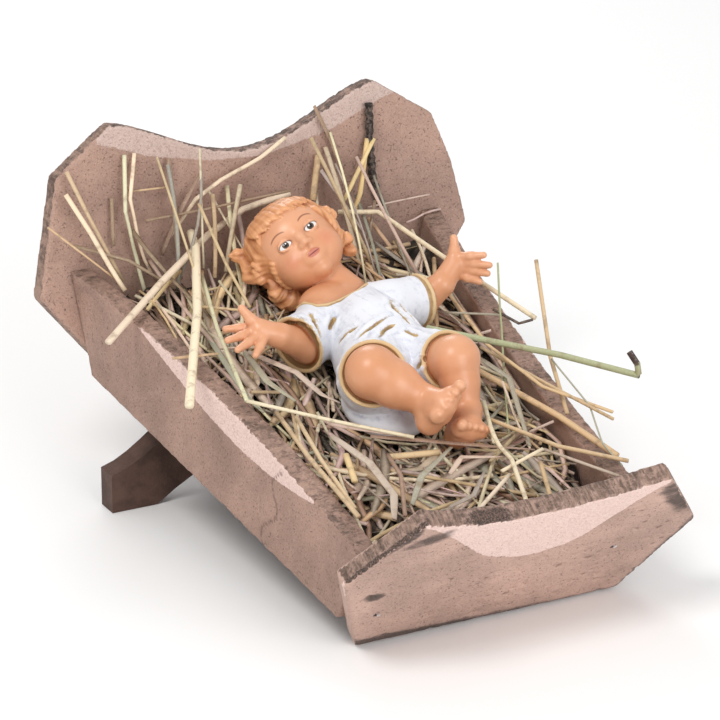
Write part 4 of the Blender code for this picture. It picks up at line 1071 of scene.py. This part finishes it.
def scatter(count, offset, lengths, widths, names, dark, flat, spin):
    for _ in range(count):
        x, y = rng.uniform(-0.074, 0.074), rng.uniform(0.004, 0.232)
        base = 0.35 if x < 0.0 else -0.35
        if y < 0.07:
            base = rng.normal(0.0, 0.75)
        angle = base + rng.normal(0.0, spin)
        length = rng.uniform(*lengths)
        width = rng.uniform(*widths)
        n = 8
        s = np.linspace(-0.5, 0.5, n) * length
        bend = rng.normal(0.0, 0.9 if flat else 0.18) / length * s ** 2
        dx = math.sin(angle) * s + math.cos(angle) * bend
        dy = math.cos(angle) * s - math.sin(angle) * bend
        heights = [bed_height(x + a, y + b) for a, b in zip(dx, dy)]
        known = [i for i, h in enumerate(heights) if h is not None]
        if len(known) < 4:
            continue
        slope, level = np.polyfit(s[known], [heights[i] for i in known], 1)
        lift = rng.uniform(*offset)
        lift += rng.normal(0.0, 0.0009)
        arch = rng.normal(0.0, 0.9) / length * 0.35
        z = level + slope * s + lift + arch * (s ** 2 - length ** 2 / 12.0)
        path = np.stack([x + dx, y + dy, z], axis=1)
        clear = [h is not None and p[2] > 0.004 and clearance(Vector(p)) > width * 0.5 + 0.0003
                 for p, h in zip(path, heights)]
        best, run = (0, 0), 0
        for i, good in enumerate(clear + [False]):
            if good:
                run += 1
            else:
                if run > best[1]:
                    best = (i - run, run)
                run = 0
        if best[1] < 3:
            continue
        path = path[best[0]:best[0] + best[1]]
        thick = width * (0.22 if flat else 0.9)
        lay(path, width, thick, shade(names[rng.integers(len(names))], *dark), 6 if not flat else 4,
            rng.normal(0.0, 1.6) if flat else 0.0, 0.55 if flat else 0.0)


# The lowest layer is near black: painted shade among and beneath the upper straws.
scatter(520, (-0.0070, -0.0028), (0.040, 0.090), (0.0014, 0.0034),
        ("brown", "grey", "brown", "dark"), (0.16, 0.60), True, 0.45)
scatter(330, (-0.0030, 0.0012), (0.065, 0.130), (0.0022, 0.0056),
        ("grey", "pink", "pink", "tan", "brown"), (0.75, 1.45), True, 0.34)
scatter(160, (-0.0022, 0.0018), (0.050, 0.110), (0.0009, 0.0015),
        ("tan", "pink", "grey", "pale"), (0.70, 1.20), False, 0.50)
scatter(70, (0.0, 0.0035), (0.050, 0.100), (0.0013, 0.0022),
        ("cream", "pale", "tan", "cream"), (0.90, 1.08), False, 0.70)

for _ in range(34):
    x = rng.uniform(-0.072, 0.066)
    low = Vector((x, rng.uniform(0.176, 0.222), 0.0))
    level = bed_height(low.x, low.y)
    if level is None:
        continue
    low.z = level + rng.uniform(-0.002, 0.004)
    up_by = rng.uniform(0.012, 0.040) if abs(x) < 0.03 else rng.uniform(0.012, 0.052)
    high = Vector((x + rng.normal(0.0, 0.018), 0.0, low.z + up_by))
    high.y = min(TROUGH_LENGTH + high.z * math.tan(HEAD_LEAN) - rng.uniform(0.002, 0.012), 0.262)
    middle = low.lerp(high, 0.5) + Vector((rng.normal(0.0, 0.0025), -rng.uniform(0.0, 0.004), 0.0))
    path = [low.lerp(middle, t / 4.0).lerp(middle.lerp(high, t / 4.0), t / 4.0) for t in range(5)]
    flat = rng.random() < 0.45
    width = rng.uniform(0.0010, 0.0024)
    if min(clearance(q) for q in path) > width * 0.5 and abs(high.x) < 0.100:
        tint = ("cream", "pale", "tan", "brown", "pink", "grey")[rng.integers(6)]
        thick, twist = (0.25, 0.6) if flat else (0.85, 0.0)
        lay([tuple(q) for q in path], width, width * thick, shade(tint, 0.75, 1.05), 6, twist)

STALKS = (
    ("pale", 2.9, [(-107, 164, 50), (-65, 199, 54), (-30, 225, 58), (-8, 234, 63), (16, 235, 67)]),
    ("cream", 3.3, [(-98, 99, 53), (-62, 168, 55), (-41, 215, 58), (-38, 227, 60)]),
    ("pale", 1.6, [(-44, 201, 52), (-56, 159, 50), (-68, 103, 47)]),
    ("pale", 1.6, [(-68, 103, 47), (-40, 76, 47), (-10, 56, 44)]),
    ("tan", 1.3, [(-38, 221, 78), (-37, 192, 62), (-34, 171, 50)]),
    ("pale", 1.6, [(-65, 246, 95), (-69, 233, 73), (-64, 228, 48), (-63, 219, 36)]),
    ("cream", 1.5, [(-60, 246, 95), (-66, 235, 78), (-61, 230, 51), (-56, 227, 40)]),
    ("tan", 1.7, [(-95, 243, 93), (-89, 230, 76), (-74, 221, 44)]),
    ("cream", 2.0, [(-97, 238, 84), (-90, 224, 70), (-79, 208, 46)]),
    ("tan", 0.9, [(-107, 234, 71), (-99, 220, 66), (-81, 214, 50)]),
    ("brown", 1.5, [(-94, 232, 60), (-73, 218, 56), (-54, 207, 44)]),
    ("brown", 1.5, [(-73, 240, 77), (-75, 231, 57)]),
    ("tan", 0.9, [(-65, 240, 79), (-46, 240, 78)]),
    ("brown", 2.2, [(-28, 241, 82), (-44, 230, 68), (-51, 229, 49)]),
    ("cream", 1.7, [(17, 245, 91), (3, 242, 84), (-19, 237, 79), (-34, 232, 74), (-47, 232, 55)]),
    ("brown", 1.2, [(-59, 232, 67), (-34, 228, 70), (12, 227, 73)]),
    ("tan", 1.2, [(-58, 181, 50), (-39, 170, 50)]),
    ("tan", 1.1, [(-86, 142, 50), (-65, 139, 50)]),
    ("yellow", 1.9, [(59, 242, 85), (50, 228, 64), (43, 224, 50)]),
    ("yellow", 1.7, [(62, 241, 85), (40, 225, 64)]),
    ("brown", 2.6, [(33, 249, 103), (40, 243, 87), (45, 236, 71)]),
    ("tan", 2.4, [(33, 241, 81), (26, 230, 64)]),
    ("tan", 1.6, [(54, 225, 52), (60, 195, 40)]),
    ("tan", 1.4, [(64, 163, 44), (55, 109, 48), (59, 66, 50), (76, 34, 52)]),
    ("green", 0.8, [(73, 137, 72), (70, 122, 42), (36, 53, 38)]),
    ("grey", 2.3, [(51, 110, 42), (54, 86, 44), (40, 41, 38)]),
    ("tan", 2.6, [(47, 103, 40), (59, 50, 44), (67, 13, 44)]),
    ("pink", 1.3, [(41, 31, 42), (60, 0, 43)]),
    ("grey", 0.7, [(69, 77, 56), (69, 42, 52), (64, 21, 46), (65, 5, 44)]),
    ("dark", 1.2, [(73, 136, 48), (76, 118, 50), (82, 116, 52)]),
    ("grey", 1.0, [(52, 144, 46), (75, 130, 48)]),
    ("cream", 1.7, [(22, 47, 44), (20, 23, 46), (7, -18, 45)]),
    ("cream", 1.5, [(13, 19, 44), (37, 26, 46)]),
    ("cream", 1.6, [(-9, 0, 40), (16, 17, 43)]),
    ("tan", 1.7, [(36, 25, 40), (29, 2, 36)]),
    ("pink", 0.8, [(56, 230, 55), (90, 232, 55)]),
    ("pink", 0.9, [(75, 225, 46), (94, 227, 46)]),
    ("pink", 2.2, [(-6, 30, 40), (2, 35, 44), (21, 30, 43)]),
    ("pink", 2.6, [(-47, 145, 44), (-36, 119, 46), (-33, 100, 45), (-26, 95, 42)]),
    ("grey", 2.9, [(-47, 148, 42), (-50, 119, 44), (-44, 103, 42)]),
    ("pink", 3.2, [(-42, 72, 42), (-37, 46, 43), (-38, 21, 42), (-45, 7, 40)]),
    ("tan", 1.9, [(-53, 103, 38), (-59, 60, 42), (-60, 11, 42)]),
    ("tan", 1.7, [(-48, 94, 40), (-55, 56, 42), (-57, 20, 40)]),
    ("brown", 2.2, [(-26, 66, 42), (-4, 56, 41), (20, 41, 42), (37, 32, 42)]),
    ("brown", 1.6, [(-25, 51, 41), (-29, 32, 43), (-38, 10, 38)]),
    ("tan", 2.6, [(-24, 51, 40), (-2, 47, 40)]),
    ("grey", 2.6, [(-31, 17, 38), (-20, 30, 42), (3, 46, 42)]),
    ("grey", 1.9, [(-16, 11, 37), (-4, 12, 40), (8, 25, 41)]),
    ("yellow", 2.4, [(-43, 56, 42), (-49, 36, 42)]),
    ("pink", 2.2, [(-38, 83, 41), (-14, 64, 41)]),
    ("cream", 1.8, [(35, 75, 42), (23, 43, 42)]),
    ("grey", 2.4, [(-56, 172, 42), (-61, 133, 43), (-63, 97, 40)]),
    ("pink", 1.6, [(-57, 229, 47), (-57, 199, 43), (-57, 158, 42)]),
)


def settle(points, radius, steps=4):
    """A kinked stalk through its points, lifted clear of whatever it would touch."""
    path = []
    for a, b in zip(points, points[1:]):
        for i in range(steps):
            path.append(Vector(a).lerp(Vector(b), i / steps))
    path.append(Vector(points[-1]))
    free = []
    for p in path:
        for _ in range(16):
            if clearance(p) > radius + 0.0002:
                break
            p = p + Vector((0.0, 0.0, 0.0005))
        free.append(p)
    smooth = [free[0]]
    for a, b, c in zip(free, free[1:], free[2:]):
        smooth.append(Vector((b.x, b.y, max(b.z, (a.z + b.z + c.z) / 3.0))))
    return smooth + [free[-1]]


for colour, width, spots_mm in STALKS:
    wide = width * 0.00125
    path = settle([Vector(s) * 0.001 for s in spots_mm], wide * 0.45)
    leaf = colour in ("grey", "pink", "brown") and width > 1.8
    thick, twist, taper = (0.25, 0.8, 0.35) if leaf else (0.8, 0.0, 0.0)
    lay(path, wide, wide * thick, shade(colour, 0.95, 1.1), 8, twist, taper)


def heap_mesh(name, co, colours):
    mesh = bpy.data.meshes.new(name)
    mesh.from_pydata(into(from_manger, co).tolist(), [], heap["faces"])
    layer = mesh.color_attributes.new("straw_colour", "FLOAT_COLOR", "POINT")
    layer.data.foreach_set("color", np.array(colours, dtype=np.float32).ravel())
    return mesh


straw_mesh = heap_mesh("straw_stalks", np.concatenate(heap["co"]), heap["colour"])

hay = Graph("straw", 0.62)
tint = hay.attribute("straw_colour", "Color")
fibre = hay.noise(900.0, 3.0, 0.6)
patch = hay.noise(160.0, 3.0, 0.6)
tint = hay.coat(tint, hay.ramp(patch, 0.50, 0.72), (0.26, 0.17, 0.10), 0.55)
tint = hay.coat(tint, hay.ramp(fibre, 0.52, 0.72), (0.80, 0.74, 0.58), 0.25)
hay.feed("Base Color", tint)
hay.bump(fibre, 0.00012, 0.6)

# A painted shadow beneath the heap: the bed's upper faces sink 5.5 mm below the loose straw and are painted
# near black.
BASE_DROP = 0.0055
base_mesh = welded("straw_bed")
co = mesh_points(base_mesh)
co[mesh_normals(base_mesh)[:, 2] > 0.25, 2] -= BASE_DROP
base_mesh.vertices.foreach_set("co", co.ravel())
base_mesh.update()
shadow_sheet_paint = Graph("straw_shadow", 0.9)
gloom = shadow_sheet_paint.ramp(shadow_sheet_paint.noise(260.0, 4.0, 0.6), 0.4, 0.65)
gloom = shadow_sheet_paint.mix(gloom, (0.020, 0.013, 0.009), (0.085, 0.058, 0.038))
shadow_sheet_paint.feed("Base Color", gloom)
smooth_object("straw_shadow_base", base_mesh, shadow_sheet_paint.mat, "straw")
smooth_object("loose_straw", straw_mesh, hay.mat, "straw", "straw_bed")


# Long straws that stand clear of the heap.
# Round stalks; the green one ends in a dried dark knee.
def long_straw(name, points, radius, tint_name, knee=0.0):
    heap.update(co=[], faces=[], colour=[], count=0)
    path = []
    for a, b in zip(points, points[1:]):
        for i in range(8):
            path.append(tuple(Vector(a).lerp(Vector(b), i / 8.0)))
    path.append(points[-1])
    lay(np.array(path) * 0.001, radius * 0.0019, radius * 0.0019, (*COLOURS[tint_name], 1.0), 12)
    co = np.concatenate(heap["co"])
    colours = np.array(heap["colour"])
    far = np.linalg.norm(co - np.array(points[-1]) * 0.001, axis=1)
    colours[far < knee * 0.001] = (0.045, 0.022, 0.020, 1.0)
    slot_name = "green_straw" if tint_name == "green" else "straw"
    smooth_object("fine_" + name, heap_mesh("fine_" + name, co, colours), hay.mat, slot_name, name)


long_straw("green_straw_with_knee", ((31.0, 123.0, 53.5), (52.0, 93.9, 58.0), (68.8, 70.1, 62.0),
                                     (89.5, 37.5, 66.0), (89.0, 39.1, 71.0), (86.6, 43.0, 75.5)),
           1.5, "green", 6.8)
long_straw("upright_straw", ((64.5, 52.0, 43.0), (71.5, 82.0, 54.0), (79.3, 115.2, 84.0)), 1.0, "tan")
long_straw("leaning_straw", ((56.0, 116.0, 42.5), (62.5, 68.0, 49.5), (71.4, 26.2, 54.0)), 0.8, "tan")
long_straw("low_straw", ((31.0, 61.0, 41.5), (45.5, 27.0, 45.0), (66.7, 3.5, 47.0)), 1.0, "tan")
long_straw("bent_long_straw", ((35.8, 222.3, 60.0), (53.9, 216.3, 60.0), (68.3, 166.0, 56.0),
                               (83.7, 116.9, 52.0)), 1.2, "cream")


# Twig and nails.
# A rough black-brown twig stuck to the headboard, and two bright steel brads in the footboard.
bark = Graph("twig_bark", 0.9)
crust = bark.noise(520.0, 4.0, 0.7)
bark_tint = bark.mix(bark.ramp(crust, 0.35, 0.7), (0.012, 0.010, 0.009), (0.16, 0.12, 0.10))
bark.feed("Base Color", bark_tint)
bark.bump(crust, 0.0005, 1.0)
twig_mesh = remeshed("twig", welded("dark_twig"), 0.00045)
co = mesh_points(twig_mesh)
lumps = np.clip(ripple(co, 0.0035, 21), -1.4, 0.5) * 0.00042 - 0.0001
twig_mesh.vertices.foreach_set("co", (co + mesh_normals(twig_mesh) * lumps[:, None]).ravel())
smooth_object("rough_dark_twig", twig_mesh, bark.mat, "dark_twig", "dark_twig")

steel = Graph("nail_steel", 0.28)
steel.feed("Base Color", (0.78, 0.78, 0.80))
steel.shader.inputs["Metallic"].default_value = 1.0
steel_worn = steel.math("MULTIPLY_ADD", steel.noise(900.0, 2.0, 0.5), 0.2, 0.2)
steel.feed("Roughness", steel_worn)
foot_out = np.array((0.0, -FOOT_UP.z, FOOT_UP.y))
for side in ("left", "right"):
    brad_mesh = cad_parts["brad_nail_" + side].data.copy()
    spots = into(to_manger, mesh_points(brad_mesh))
    middle = spots.mean(axis=0)
    head = (spots - middle) @ foot_out > 0.0
    spots[head] += foot_out * 0.0011
    brad_mesh.vertices.foreach_set("co", into(from_manger, spots).ravel())
    brad_mesh.update()
    smooth_object("bright_brad_" + side, brad_mesh, steel.mat, "nail_steel", "brad_nail_" + side)
